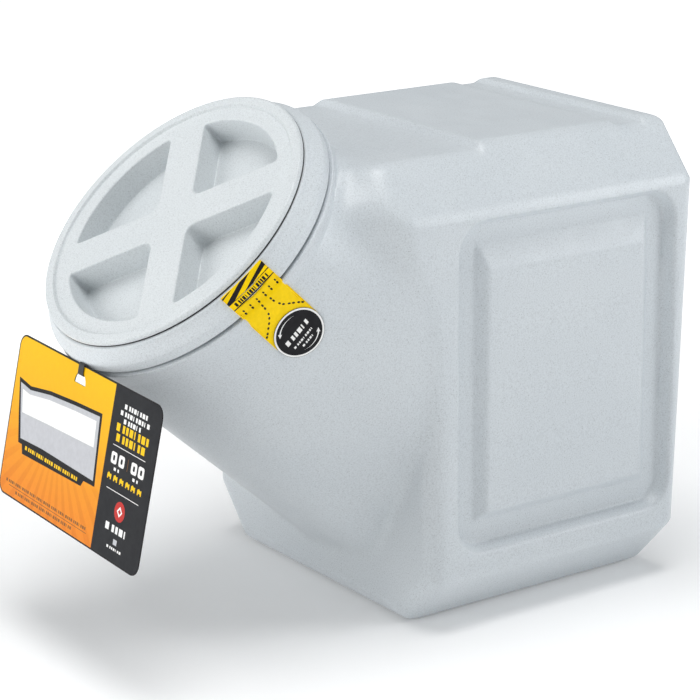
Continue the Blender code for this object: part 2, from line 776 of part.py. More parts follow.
def build_tape(mat, tree):
    depths = [RING_TOP + 0.0004, 0.0096, 0.0135, 0.0165, 0.0190, 0.0215, RING_LOW,
              FLANGE_TOP, FLANGE_LOW, 0.0480, TAPE_REST, 0.0630, 0.0680, 0.0730, TAPE_END]
    low = []
    high = []
    for depth in depths:
        low_row = []
        high_row = []
        for j in range(7):
            across = TAPE_W * (j / 6 - 0.5)
            middle = TAPE_ANGLE + TAPE_SLANT * (depth - RING_TOP)
            angle = middle + across / tape_radius(tree, middle, depth)
            r = tape_radius(tree, angle, depth)
            low_row.append(neck_point(r + TAPE_LIFT, angle, depth))
            high_row.append(neck_point(r + TAPE_LIFT + TAPE_T, angle, depth))
        low.append(low_row)
        high.append(high_row)
    obj = mesh_object("seal_tape", sheet(low, high), mat)
    smooth(obj, 40)
    return obj


def build_sticker(mat, tree):
    rings = 5
    steps = 40
    centre_r = neck_radius(tree, STICKER_ANGLE, STICKER_DEPTH)
    loops_low = []
    loops_high = []
    for k in range(rings + 1):
        rho = STICKER_R * max(k / rings, 0.02)
        low = []
        high = []
        for i in range(steps):
            a = 2 * math.pi * i / steps
            angle = STICKER_ANGLE + rho * math.cos(a) / centre_r
            depth = STICKER_DEPTH + rho * math.sin(a)
            r = neck_radius(tree, angle, depth)
            low.append(neck_point(r + STICKER_LIFT, angle, depth))
            high.append(neck_point(r + STICKER_LIFT + STICKER_T, angle, depth))
        loops_low.append(low)
        loops_high.append(high)
    obj = mesh_object("round_sticker", skin(loops_low + list(reversed(loops_high))), mat)
    smooth(obj, 40)
    return obj


def tag_frame():
    """Tag axes: right along its top edge, down its face, and out of its front."""
    right = Vector((math.cos(TAG_YAW), math.sin(TAG_YAW), 0))
    front = Vector((math.sin(TAG_YAW), -math.cos(TAG_YAW), 0))
    down = -Vector((0, 0, 1)) * math.cos(TAG_LEAN) + front * math.sin(TAG_LEAN)
    normal = down.cross(right)
    return right, down, normal.normalized()


def tag_point(u, v, w):
    right, down, normal = tag_frame()
    return TAG_TOP + right * u + down * v + normal * w


def build_tag(mat):
    outline = rounded_rect(-TAG_W / 2, TAG_W / 2, 0, TAG_H, TAG_R, 5)
    loops = [[tag_point(u, v, w) for u, v in outline] for w in (-TAG_T / 2, TAG_T / 2)]
    obj = mesh_object("hang_tag", skin(loops), mat)
    hole = []
    for i in range(13):
        a = math.pi * i / 12
        hole.append((TAG_HOLE_X + TAG_HOLE_W / 2 * math.cos(a),
                     TAG_HOLE_LOW - TAG_HOLE_H * math.sin(a)))
    cut = mesh_object("hole", skin([[tag_point(u, v, w) for u, v in hole] for w in (-0.004, 0.004)]))
    boolean(obj, cut, "DIFFERENCE")
    set_origin(obj, tie_pin())
    return obj


def tie_angle():
    """Turn about the neck axis at which the tie leaves the gap under the ring."""
    return -math.pi / 2 + math.asin(tag_point(TAG_HOLE_X, 0, 0).x / TIE_PIN_RADIUS)


def tie_pin():
    """The tie's pivot, in the gap between the ring and the neck flange."""
    return neck_point(TIE_PIN_RADIUS, tie_angle(), TIE_PIN_DEPTH)


def tie_path():
    """Closed centre line of the tie as (down, out) offsets in the plane through the tag's hole."""
    right, down, normal = tag_frame()
    origin = tag_point(TAG_HOLE_X, 0, 0)
    angle = tie_angle()

    def flat(q):
        return Vector((q.dot(down), q.dot(normal)))

    pin = flat(tie_pin() - origin)
    edge = flat(neck_point(RING_R, angle, RING_LOW) - origin)
    away = flat(neck_point(1.0, angle, 0) - neck_point(0.0, angle, 0)).normalized()
    along = flat(OUT).normalized()
    clear = TIE_T / 2 + TIE_GAP
    reach = TAG_T / 2 + clear
    hole = TIE_V
    path = [pin + along * TIE_T * 0.8]
    path += [edge + away * clear + along * t for t in (0.0012, 0.0034, 0.0050)]
    path += [Vector((0.0001, -reach)), Vector((-clear, -reach * 0.2)), Vector((-clear, reach * 0.6)),
             Vector((0.0004, reach)), Vector((hole * 0.6, reach)), Vector((hole + 0.0006, reach)),
             Vector((hole + 0.0006 + clear, 0.0)), Vector((hole + 0.0004, -reach))]
    path += [pin - along * TIE_T * 0.8 + away * 0.0016, pin - along * TIE_T * 0.8]
    return path


def build_tie(mat):
    path = tie_path()
    count = len(path)
    rows = []
    bm = bmesh.new()
    for i in range(count):
        t = (path[(i + 1) % count] - path[i - 1]).normalized()
        side = Vector((-t.y, t.x)) * TIE_T / 2
        row = []
        for across, out in ((-1, -1), (1, -1), (1, 1), (-1, 1)):
            q = path[i] + side * out
            row.append(bm.verts.new(tag_point(TAG_HOLE_X + across * TIE_W / 2, q.x, q.y)))
        rows.append(row)
    for k in range(count):
        a = rows[k]
        b = rows[(k + 1) % count]
        for i in range(4):
            j = (i + 1) % 4
            bm.faces.new((a[i], a[j], b[j], b[i]))
    obj = mesh_object("tag_tie", bm, mat)
    smooth(obj, 50)
    set_origin(obj, tie_pin())
    return obj


def main():
    clear_scene()
    grey = (0.62, 0.66, 0.68)
    container = build_container(material("body_plastic", grey, 0.45))
    tree = BVHTree.FromObject(container, bpy.context.evaluated_depsgraph_get())
    build_ring(material("ring_plastic", (0.64, 0.68, 0.69), 0.42))
    build_ring_seal(material("ring_seal_rubber", (0.05, 0.05, 0.05), 0.7))
    build_lid_seal(material("lid_seal_rubber", (0.06, 0.06, 0.06), 0.7))
    build_lid(material("lid_plastic", (0.70, 0.73, 0.75), 0.42))
    build_tape(material("tape_film", (0.95, 0.62, 0.02), 0.4), tree)
    build_sticker(material("sticker_paper", (0.02, 0.02, 0.02), 0.4), tree)
    build_tag(material("tag_card", (0.93, 0.45, 0.03), 0.5))
    build_tie(material("tie_strap", (0.02, 0.02, 0.02), 0.6))


main()
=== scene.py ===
"""Dry food storage bin with a forward-tilted round neck, a snap ring and a spin-on lid, in a plain studio.

Metres, +Z up, -Y towards the neck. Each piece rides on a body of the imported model.
"""
import json
from math import atan2, ceil, copysign, cos, hypot, pi, radians, sin, sqrt, tan

import bmesh
import bpy
import numpy as np
from mathutils import Matrix, Vector
from mathutils.bvhtree import BVHTree
from mathutils.geometry import delaunay_2d_cdt


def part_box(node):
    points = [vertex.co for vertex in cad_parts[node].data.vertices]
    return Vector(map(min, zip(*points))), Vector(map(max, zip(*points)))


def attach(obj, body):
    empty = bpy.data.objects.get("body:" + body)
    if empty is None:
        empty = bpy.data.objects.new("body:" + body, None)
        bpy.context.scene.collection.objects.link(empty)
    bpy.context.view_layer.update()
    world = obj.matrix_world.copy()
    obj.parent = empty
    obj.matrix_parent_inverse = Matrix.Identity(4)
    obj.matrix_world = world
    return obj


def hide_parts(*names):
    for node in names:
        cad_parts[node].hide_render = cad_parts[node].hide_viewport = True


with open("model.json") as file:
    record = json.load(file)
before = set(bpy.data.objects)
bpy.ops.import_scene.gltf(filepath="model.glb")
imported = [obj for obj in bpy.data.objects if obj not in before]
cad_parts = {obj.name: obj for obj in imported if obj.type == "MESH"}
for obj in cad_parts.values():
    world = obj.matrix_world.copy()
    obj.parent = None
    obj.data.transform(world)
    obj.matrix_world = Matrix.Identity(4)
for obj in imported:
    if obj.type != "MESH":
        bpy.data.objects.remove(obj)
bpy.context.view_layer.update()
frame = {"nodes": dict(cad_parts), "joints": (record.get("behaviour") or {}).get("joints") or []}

SPIN = next(j for j in frame["joints"] if j["name"] == "lid_spin")
LID_CENTRE = Vector(SPIN["pos_m"])
OUT = Vector(SPIN["axis"]).normalized()
UP = Vector((0, OUT.z, -OUT.y))
BASE_LOW, BASE_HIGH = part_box("container_body")

# Container box.
HEIGHT = 0.429
FRONT_Y = -0.146
BASE_LEN = 0.292
TOP_LEN = 0.309
BASE_HALF = 0.130
TOP_HALF = 0.120
WAIST_LOW = (0.1735, 0.050)
WAIST_HIGH = (0.1655, 0.379)
EDGE_R = 0.023
WAIST_LOW_R = EDGE_R * 0.25
WAIST_HIGH_R = EDGE_R * 0.26
FOOT_R = EDGE_R * 0.33
TOP_R = EDGE_R * 0.30
END_R = 0.019
SHOULDER_R = 0.006
SHOULDER_START = 0.26
SHOULDER_RUN = 0.08
WALL = 0.003
GRID_FULL = 0.0033
GRID_HOLLOW = 0.008
GRID_MARGIN = (0.008, 0.012, 0.010, 0.035)  # x, y, below and above
BORE_DEPTHS = (0.030, 0.050)
SCRAP_MERGE = 0.000002
SCRAP_FACES = 16

# Side recess and its raised panel; a run is the width of a slope.
RECESS_Y = (FRONT_Y + 0.0285, FRONT_Y + 0.2805)
RECESS_Z = (0.070, 0.372)
RECESS_CORNER = 0.030
RECESS_DEPTH = 0.012
RECESS_RUN = 0.006
PANEL_Y = (0.055, 0.254)  # from the front face
PANEL_Z = (0.097, 0.3487)
PANEL_RISE = 0.009
PANEL_RUN = 0.009
PANEL_TOP_RUN = 0.024

# Top: stacking step and rear groove, from the front face.
STEP_Y = 0.088
STEP_DROP = 0.006
GROOVE_Y = (0.242, 0.279)
GROOVE_DEPTH = 0.0045
GROOVE_STEEP = (0.64, 1.07)  # rise over run of its front and rear sides

# Neck.
NECK_R = 0.1445
NECK_START = 0.042
NECK_CLIP = 0.0375
NECK_BEND_R = 0.022
CROWN_DEPTH = 0.075
CROWN_UP = 0.070
FOOT_BLEND = 0.006
COLLAR_R = 0.1335
COLLAR_TOP = 0.0145
BEAD_R = 0.1347
FLANGE_R = 0.1470
FLANGE_TOP = 0.0312
FLANGE_LOW = 0.0372

# Where the neck runs out on the box, lower middle to crown, right half.
CREASE = [
    (0, -0.146, 0.041), (0.043, -0.146, 0.047), (0.086, -0.146, 0.0565), (0.101, -0.146, 0.073),
    (0.115, -0.146, 0.103), (0.143, -0.146, 0.157), (0.162, -0.146, 0.200), (0.1725, -0.146, 0.270),
    (0.1668, -0.148, 0.318), (0.1662, -0.156, 0.334), (0.1660, -0.165, 0.347), (0.1658, -0.174, 0.363),
    (0.1655, -0.181, 0.378), (0.143, -0.179, 0.404), (0.120, -0.175, 0.427), (0.090, -0.143, 0.429),
    (0.060, -0.120, 0.429), (0, -0.101, 0.429)]

# Snap ring, lid and seals: (radius, depth) about the neck axis.
RING_TOP = 0.0062
RING_LIP_R = 0.1370
RING_R = 0.1452
RING_LOW = 0.0287
RING_SHOULDER = 0.0098
RING_KNEE = (0.1428, 0.0162)
RING_FOOT = 0.0198
BARREL_OUT_R = 0.1262
BARREL_R = 0.1206
BARREL_LOW = 0.0360
SEAT_R = 0.1285
SEAT_DEPTH = 0.0092
LID_R = 0.1350
BAND_R = 0.1245
DISC_DEPTH = 0.0026
LID_EDGE = 0.0050
DISC_UNDER = 0.0062
SKIRT_R = 0.1170
SKIRT_IN_R = 0.1136
SKIRT_LOW = 0.0340
ARM_HALF = 0.0185
ARM_ANGLE = radians(39.5)
POCKET_R = 0.1095
POCKET_DEPTH = 0.0228
POCKET_DRAFT = 0.0030
POCKET_INNER_R = 0.0100
POCKET_OUTER_R = 0.0035
POCKET_MOUTH_R = 0.0016
POCKET_FLOOR_R = 0.0014
WELL_WALL = 0.0027
LEAD = 0.012
TOOTH = 0.0021
TOOTH_TIP = 0.0012
MALE_R = 0.1194
FEMALE_R = 0.1183
THREAD_TURNS = 0.85
THREAD_SINK = 0.0006
THREAD_START = 0.15  # share of the full height at the very end
THREAD_FADE = 6.0  # share gained per turn from there
MALE_FIRST = 0.0165
FEMALE_FIRST = 0.0195
RING_SEAL = (0.1322, 0.0042, 0.0118, 0.0023)  # middle radius, width, top depth, height
LID_SEAL = (0.1245, 0.0071, 0.0017)  # middle radius, middle depth, tube radius

# Printed pieces.
TAPE_W = 0.0456
TAPE_ANGLE = radians(-12.1)
TAPE_SLANT = radians(24.7)
TAPE_T = 0.00035
TAPE_LIFT = 0.0004
TAPE_REST = 0.052
TAPE_END = 0.0780
STICKER_R = 0.0225
STICKER_DEPTH = 0.0789
STICKER_ANGLE = radians(-10.3)
STICKER_T = 0.0004
STICKER_LIFT = 0.0011
TAG_W = 0.2553
TAG_H = 0.1447
TAG_T = 0.0009
TAG_R = 0.011
TAG_TOP = Vector((0.0205, FRONT_Y - 0.2511, 0.2575))
TAG_YAW = radians(-2.8)
TAG_LEAN = radians(11.4)
TAG_HOLE = (-0.0126, 0.0172, 0.0098, 0.0106)  # u, v of its flat edge, half width, height
AMBER_Z = (0.116, 0.257)  # heights between which the card's amber turns from orange to yellow
PRINT_GLOSS = 0.12

# Camera.
CAMERA_AT = Vector((1.80187, -1.43443, 0.88848))
CAMERA_RIGHT = Vector((0.59056, 0.80697, 0.00657))
CAMERA_UP = Vector((-0.23510, 0.16425, 0.95799))
LENS = 130.78

# Studio: lamps as (name, place, diameter, watts, colour), and the floor's glow by distance from the middle.
AIM = Vector((0, -0.1, 0.2))
WARM = (1.0, 0.99, 0.98)
LAMPS = [
    ("front", (-0.8, -3.1, 0.8), 1.8, 34.0, WARM),
    ("low", (1.4, -3.0, 1.3), 1.2, 7.0, WARM),
    ("right", (2.3, 2.5, 1.4), 1.6, 40.0, (0.96, 0.98, 1.0)),
    ("left", (-2.4, -1.6, 1.6), 1.8, 9.0, (1.0, 1.0, 1.0)),
    ("top", (0.2, -0.3, 3.2), 2.0, 61.0, (1.0, 1.0, 1.0))]
FLOOR_GLOW = (("From Min", 0.3), ("From Max", 1.6), ("To Min", 0.10), ("To Max", 0.70))
FLOOR_SIZE = 14
FLOOR_Z = -0.0005
FLOOR_TONE = 0.93
WORLD_STRENGTH = 0.24


# ---------------- materials

def shader(name, rough, **sockets):
    """A principled material and its shader node."""
    mat = bpy.data.materials.new(name)
    mat.use_nodes = True
    bsdf = mat.node_tree.nodes["Principled BSDF"]
    bsdf.inputs["Roughness"].default_value = rough
    for key, value in sockets.items():
        bsdf.inputs[key.replace("_", " ")].default_value = value
    return mat, bsdf


def node(mat, kind, **values):
    """A node with its own settings or socket values filled in."""
    made = mat.node_tree.nodes.new(kind)
    for key, value in values.items():
        if hasattr(made, key):
            setattr(made, key, value)
        else:
            made.inputs[key.replace("_", " ")].default_value = value
    return made


def link(mat, a, b):
    """Join two sockets."""
    mat.node_tree.links.new(a, b)


def object_coord(mat):
    """The piece's own coordinates, which move with it."""
    return mat.node_tree.nodes.new("ShaderNodeTexCoord").outputs["Object"]


def ramp_node(mat, source, stops):
    """Colour ramp over a value; stops are (place, colour)."""
    made = mat.node_tree.nodes.new("ShaderNodeValToRGB")
    ramp = made.color_ramp
    while len(ramp.elements) < len(stops):
        ramp.elements.new(0.5)
    for element, (at, colour) in zip(ramp.elements, stops):
        element.position = at
        element.color = (*colour, 1)
    link(mat, source, made.inputs["Fac"])
    return made.outputs["Color"]


def mix_colour(mat, mode, fac, a, b):
    """Blend two colours; each may be a tuple or a socket."""
    made = mat.node_tree.nodes.new("ShaderNodeMix")
    made.data_type = "RGBA"
    made.blend_type = mode
    made.clamp_factor = True
    if isinstance(fac, float):
        made.inputs["Factor"].default_value = fac
    else:
        link(mat, fac, made.inputs["Factor"])
    for value, socket in ((a, made.inputs[6]), (b, made.inputs[7])):
        if isinstance(value, tuple):
            socket.default_value = (*value, 1)
        else:
            link(mat, value, socket)
    return made.outputs[2]


def noise(mat, coord, scale, detail, rough=0.5):
    """Noise value over the coordinates."""
    made = node(mat, "ShaderNodeTexNoise", Scale=scale, Detail=detail, Roughness=rough)
    link(mat, coord, made.inputs["Vector"])
    return made.outputs["Fac"]


def fine_bump(mat, bsdf, coord, scale, detail, strength, distance):
    """Fine surface grain as a bump."""
    bump = node(mat, "ShaderNodeBump", Strength=strength, Distance=distance)
    link(mat, noise(mat, coord, scale, detail), bump.inputs["Height"])
    link(mat, bump.outputs["Normal"], bsdf.inputs["Normal"])


def uneven_gloss(mat, bsdf, coord, scale, detail, low, high):
    """Roughness that drifts between two values."""
    gloss = ramp_node(mat, noise(mat, coord, scale, detail), [(0.3, (low,) * 3), (0.7, (high,) * 3)])
    link(mat, gloss, bsdf.inputs["Roughness"])


def speckled(name, colour, rough):
    """Blow-moulded or injected plastic with granite flecks, faint flow clouding and a fine grain."""
    mat, bsdf = shader(name, rough, IOR=1.46)
    coord = object_coord(mat)
    light = tuple(min(c * 1.07, 1.0) for c in colour)
    dark = tuple(c * 0.86 for c in colour)
    grain = noise(mat, coord, 760.0, 3.0, 0.65)
    base = ramp_node(mat, grain, [(0.34, dark), (0.50, colour), (0.68, light)])
    cell = node(mat, "ShaderNodeTexVoronoi", Scale=560.0, Randomness=1.0)
    link(mat, coord, cell.inputs["Vector"])
    fleck = ramp_node(mat, cell.outputs["Distance"], [(0.10, (1, 1, 1)), (0.26, (0, 0, 0))])
    pick = node(mat, "ShaderNodeTexWhiteNoise", noise_dimensions="3D")
    link(mat, cell.outputs["Position"], pick.inputs["Vector"])
    chosen = ramp_node(mat, pick.outputs["Value"], [(0.16, (1, 1, 1)), (0.22, (0, 0, 0))])
    mask = mix_colour(mat, "MULTIPLY", 1.0, fleck, chosen)
    base = mix_colour(mat, "MIX", mask, base, tuple(c * 0.54 for c in colour))
    cloud = ramp_node(mat, noise(mat, coord, 9.0, 3.0),
                      [(0.35, (0.965, 0.97, 0.975)), (0.65, (1.0, 1.0, 1.0))])
    base = mix_colour(mat, "MULTIPLY", 1.0, base, cloud)
    link(mat, base, bsdf.inputs["Base Color"])
    uneven_gloss(mat, bsdf, coord, 45.0, 4.0, rough - 0.04, rough + 0.05)
    fine_bump(mat, bsdf, coord, 900.0, 3.0, 0.10, 0.0004)
    return mat


def rubber(name, colour, rough):
    """Matt black rubber or strap with a fine grain."""
    mat, bsdf = shader(name, rough, IOR=1.52)
    coord = object_coord(mat)
    tone = ramp_node(mat, noise(mat, coord, 300.0, 4.0),
                     [(0.35, tuple(c * 0.75 for c in colour)), (0.65, tuple(c * 1.3 for c in colour))])
    link(mat, tone, bsdf.inputs["Base Color"])
    fine_bump(mat, bsdf, coord, 1500.0, 2.0, 0.15, 0.0003)
    return mat


def ink(name, colour, rough=0.42, vary=0.05):
    """A printed area: flat ink with faint paper tone and a light film gloss."""
    mat, bsdf = shader(name, rough, IOR=1.45, Specular_IOR_Level=PRINT_GLOSS)
    coord = object_coord(mat)
    tone = ramp_node(mat, noise(mat, coord, 220.0, 4.0),
                     [(0.3, tuple(c * (1 - vary) for c in colour)),
                      (0.7, tuple(min(1.0, c * (1 + vary)) for c in colour))])
    link(mat, tone, bsdf.inputs["Base Color"])
    uneven_gloss(mat, bsdf, coord, 60.0, 3.0, rough - 0.05, rough + 0.06)
    return mat


def amber_ink(name):
    """The card's amber field: yellow above, orange below, with faint rays fanning out under the plate."""
    mat, bsdf = shader(name, 0.42, IOR=1.45, Specular_IOR_Level=PRINT_GLOSS)
    coord = object_coord(mat)
    split = node(mat, "ShaderNodeSeparateXYZ")
    link(mat, coord, split.inputs["Vector"])
    height = node(mat, "ShaderNodeMapRange")
    height.inputs["From Min"].default_value, height.inputs["From Max"].default_value = AMBER_Z
    link(mat, split.outputs["Z"], height.inputs["Value"])
    field = ramp_node(mat, height.outputs["Result"], [
        (0.0, (0.80, 0.24, 0.020)), (0.30, (0.83, 0.30, 0.016)), (0.62, (0.87, 0.42, 0.008)),
        (1.0, (0.87, 0.50, 0.004))])
    hub = tag_point(-0.037, 0.055, 0)
    turn = node(mat, "ShaderNodeMapping", vector_type="TEXTURE")
    turn.inputs["Location"].default_value = hub
    turn.inputs["Rotation"].default_value = (radians(90), 0, 0)
    link(mat, coord, turn.inputs["Vector"])
    fan = node(mat, "ShaderNodeTexGradient", gradient_type="RADIAL")
    link(mat, turn.outputs["Vector"], fan.inputs["Vector"])
    times = node(mat, "ShaderNodeMath", operation="MULTIPLY")
    times.inputs[1].default_value = 72 * pi
    link(mat, fan.outputs["Fac"], times.inputs[0])
    wave = node(mat, "ShaderNodeMath", operation="SINE")
    link(mat, times.outputs[0], wave.inputs[0])
    rays = ramp_node(mat, wave.outputs[0], [(0.0, (1, 1, 1)), (0.5, (0.93, 0.86, 0.82))])
    low = ramp_node(mat, height.outputs["Result"], [(0.18, (1, 1, 1)), (0.62, (0, 0, 0))])
    field = mix_colour(mat, "MULTIPLY", low, field, rays)
    grain = ramp_node(mat, noise(mat, coord, 220.0, 4.0), [(0.3, (0.96, 0.96, 0.96)), (0.7, (1, 1, 1))])
    link(mat, mix_colour(mat, "MULTIPLY", 1.0, field, grain), bsdf.inputs["Base Color"])
    return mat


# ---------------- mesh helpers

def new_object(name, mesh):
    """Put an object in the scene."""
    obj = bpy.data.objects.new(name, mesh)
    bpy.context.scene.collection.objects.link(obj)
    return obj


def from_arrays(name, points, faces):
    """An object from points and the faces' indexes."""
    mesh = bpy.data.meshes.new(name)
    mesh.from_pydata([tuple(p) for p in points], [], [tuple(int(i) for i in f) for f in faces])
    mesh.update()
    return new_object(name, mesh)


def from_bmesh(name, bm):
    """An object from a bmesh, with its normals turned outward."""
    bmesh.ops.recalc_face_normals(bm, faces=bm.faces)
    mesh = bpy.data.meshes.new(name)
    bm.to_mesh(mesh)
    bm.free()
    return new_object(name, mesh)


def apply_modifiers(obj):
    """Bake the modifiers into the mesh."""
    bpy.context.view_layer.update()
    graph = bpy.context.evaluated_depsgraph_get()
    mesh = bpy.data.meshes.new_from_object(obj.evaluated_get(graph))
    obj.modifiers.clear()
    obj.data = mesh


def boolean(obj, cutter, operation):
    """Cut or join obj with the cutter, which is used up."""
    mod = obj.modifiers.new("cut", "BOOLEAN")
    mod.operation = operation
    mod.solver = "MANIFOLD"
    mod.object = cutter
    apply_modifiers(obj)
    bpy.data.objects.remove(cutter, do_unlink=True)


def drop_scraps(obj):
    """Remove loose slivers left by a cut; an edge of more than two faces counts as a break."""
    bm = bmesh.new()
    bm.from_mesh(obj.data)
    bmesh.ops.remove_doubles(bm, verts=bm.verts, dist=SCRAP_MERGE)
    left = set(bm.faces)
    while left:
        island = {left.pop()}
        front = list(island)
        while front:
            near = {f for e in front.pop().edges if len(e.link_faces) == 2 for f in e.link_faces} & left
            left -= near
            island |= near
            front.extend(near)
        if len(island) < SCRAP_FACES:
            bmesh.ops.delete(bm, geom=list(island), context="FACES")
    bm.to_mesh(obj.data)
    bm.free()


def smooth(obj, degrees, weighted=False):
    """Smooth shading with edges sharper than the angle kept."""
    for poly in obj.data.polygons:
        poly.use_smooth = True
    obj.data.set_sharp_from_angle(angle=radians(degrees))
    if weighted:
        mod = obj.modifiers.new("weighted", "WEIGHTED_NORMAL")
        mod.keep_sharp = True
        mod.weight = 50
    return obj


def finish_piece(obj, body, slot, *mats, replaces=None):
    """Give a piece its materials and body, and hide the CAD node it stands for; the slot is not used."""
    if len(mats) == 1:
        obj.data.materials.clear()
    for mat in mats:
        obj.data.materials.append(mat)
    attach(obj, body)
    if replaces:
        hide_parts(replaces)
    return obj


def neck_point(radius, angle, depth):
    """A point by radius and angle about the neck axis, and depth below the lid's face."""
    radial = Vector((cos(angle), 0, 0)) + UP * sin(angle)
    return LID_CENTRE - OUT * depth + radial * radius


def skin(loops):
    """A closed tube through loops of the same length, with both ends capped."""
    bm = bmesh.new()
    rows = [[bm.verts.new(p) for p in loop] for loop in loops]
    count = len(rows[0])
    for a, b in zip(rows, rows[1:]):
        for i in range(count):
            j = (i + 1) % count
            bm.faces.new((a[i], a[j], b[j], b[i]))
    bm.faces.new(rows[0])
    bm.faces.new(rows[-1])
    return bm


def arc_points(centre, start, end, steps):
    """Points of an arc about centre; start and end are offsets from it."""
    sweep = start.angle(end)
    return [centre + (start * sin((1 - i / steps) * sweep)
                      + end * sin(i / steps * sweep)) / sin(sweep) for i in range(steps + 1)]


def rounded(points, steps=4):
    """Fillet the corners of a closed profile; each point is (radius, depth, fillet radius)."""
    out = []
    count = len(points)
    for i, (x, y, radius) in enumerate(points):
        here = Vector((x, y))
        if radius <= 0:
            out.append(here)
            continue
        to_a = Vector(points[i - 1][:2]) - here
        to_b = Vector(points[(i + 1) % count][:2]) - here
        half = to_a.angle(to_b) / 2
        if half > radians(88):
            out.append(here)
            continue
        reach = min(radius / tan(half), to_a.length * 0.48, to_b.length * 0.48)
        radius = reach * tan(half)
        a = to_a.normalized()
        b = to_b.normalized()
        centre = here + (a + b).normalized() * (radius / sin(half))
        start = here + a * reach - centre
        end = here + b * reach - centre
        out += arc_points(centre, start, end, steps)
    return [(p.x, p.y) for p in out]


def lathe(profile, steps=160):
    """A solid of revolution about the neck axis from a (radius, depth) profile."""
    bm = bmesh.new()
    rows = []
    for radius, depth in profile:
        if radius < 1e-6:
            rows.append([bm.verts.new(neck_point(0, 0, depth))])
        else:
            rows.append([bm.verts.new(neck_point(radius, 2 * pi * i / steps, depth))
                         for i in range(steps)])
    pairs = list(zip(rows, rows[1:]))
    if len(rows[0]) > 1 and len(rows[-1]) > 1:
        pairs.append((rows[-1], rows[0]))
    for a, b in pairs:
        for i in range(steps):
            j = (i + 1) % steps
            if len(a) == 1:
                bm.faces.new((a[0], b[j], b[i]))
            elif len(b) == 1:
                bm.faces.new((a[i], a[j], b[0]))
            else:
                bm.faces.new((a[i], a[j], b[j], b[i]))
    return bm


# ---------------- container field

def rmax(a, b, k):
    """Larger of two distances with the edge between them rounded."""
    return np.minimum(np.maximum(a, b), -k) + np.hypot(np.maximum(a + k, 0), np.maximum(b + k, 0))


def rmin(a, b, k):
    """Smaller of two distances with the edge between them rounded."""
    return -rmax(-a, -b, k)


def slope(h, top, k):
    """A height that climbs from 0 to top with rounded ends."""
    return rmin(rmax(h, 0 * h, k), top + 0 * h, k)


def rect_distance(y, z, ys, zs, radius):
    """Signed distance to a rectangle with round corners."""
    qy = np.abs(y - (ys[0] + ys[1]) / 2) - ((ys[1] - ys[0]) / 2 - radius)
    qz = np.abs(z - (zs[0] + zs[1]) / 2) - ((zs[1] - zs[0]) / 2 - radius)
    return np.hypot(np.maximum(qy, 0), np.maximum(qz, 0)) + np.minimum(np.maximum(qy, qz), 0) - radius


def polar(x, y, z):
    """Radius, turn from the side and depth of points about the neck axis."""
    dy = y - LID_CENTRE.y
    dz = z - LID_CENTRE.z
    up = dy * UP.y + dz * UP.z
    depth = -(dy * OUT.y + dz * OUT.z)
    return np.hypot(x, up), np.arctan2(up, np.abs(x)), depth


def crease_table():
    """Radius and depth of the crease for each turn, slightly smoothed."""
    keys = [polar(*(np.array(float(v)) for v in p)) for p in CREASE]
    turns = np.array([float(k[1]) for k in keys])
    fine = np.radians(np.linspace(-90, 90, 721))
    spread = 14.0
    reach = int(4 * spread)
    kernel = np.exp(-0.5 * (np.arange(-reach, reach + 1) / spread) ** 2)
    kernel /= kernel.sum()
    tables = []
    for part in (0, 2):
        values = np.interp(fine, turns, np.array([float(k[part]) for k in keys]))
        padded = np.concatenate([values[reach:0:-1], values, values[-2:-reach - 2:-1]])
        tables.append(np.convolve(padded, kernel, "valid"))
    return fine, tables[0], tables[1]


CREASE_TURN, CREASE_RADIUS, CREASE_DEPTH = crease_table()


def side_depth(y, z):
    """Depth of the side's recess, with its raised middle panel."""
    recess = rect_distance(y, z, RECESS_Y, RECESS_Z, RECESS_CORNER)
    steep = PANEL_RISE / PANEL_RUN
    across = rmin((y - FRONT_Y - PANEL_Y[0]) * steep, (FRONT_Y + PANEL_Y[1] - y) * steep, 0.0015)
    up = rmin((z - PANEL_Z[0]) * steep, (PANEL_Z[1] - z) * PANEL_RISE / PANEL_TOP_RUN, 0.0015)
    sunk = slope(-recess * RECESS_DEPTH / RECESS_RUN, RECESS_DEPTH, 0.0016)
    return sunk - slope(rmin(across, up, 0.0018), PANEL_RISE, 0.0009)


def top_drop(y):
    """Depth of the stacking step and of the rear groove below the top."""
    step_y = FRONT_Y + STEP_Y
    step = STEP_DROP - slope(y - (step_y - STEP_DROP), STEP_DROP, 0.0012)
    groove = np.minimum((y - (FRONT_Y + GROOVE_Y[0])) * GROOVE_STEEP[0],
                        (FRONT_Y + GROOVE_Y[1] - y) * GROOVE_STEEP[1])
    return step + slope(groove, GROOVE_DEPTH, 0.001)


def neck_distance(x, y, z):
    """Signed distance, nearly, to the neck: a tube that runs out to the crease on the box."""
    radius, turn, depth = polar(x, y, z)
    dr = np.interp(turn, CREASE_TURN, CREASE_RADIUS) - NECK_R
    ds = np.interp(turn, CREASE_TURN, CREASE_DEPTH) - NECK_START
    length = np.hypot(dr, ds)
    line = ((radius - NECK_R) * ds - (depth - NECK_START) * dr) / length
    tube = radius - NECK_R
    k = NECK_BEND_R * (1 - ds / length)
    flank = np.where(dr > 0, rmin(tube, line, k), rmax(tube, line, k))
    return np.maximum(flank, NECK_CLIP - depth)


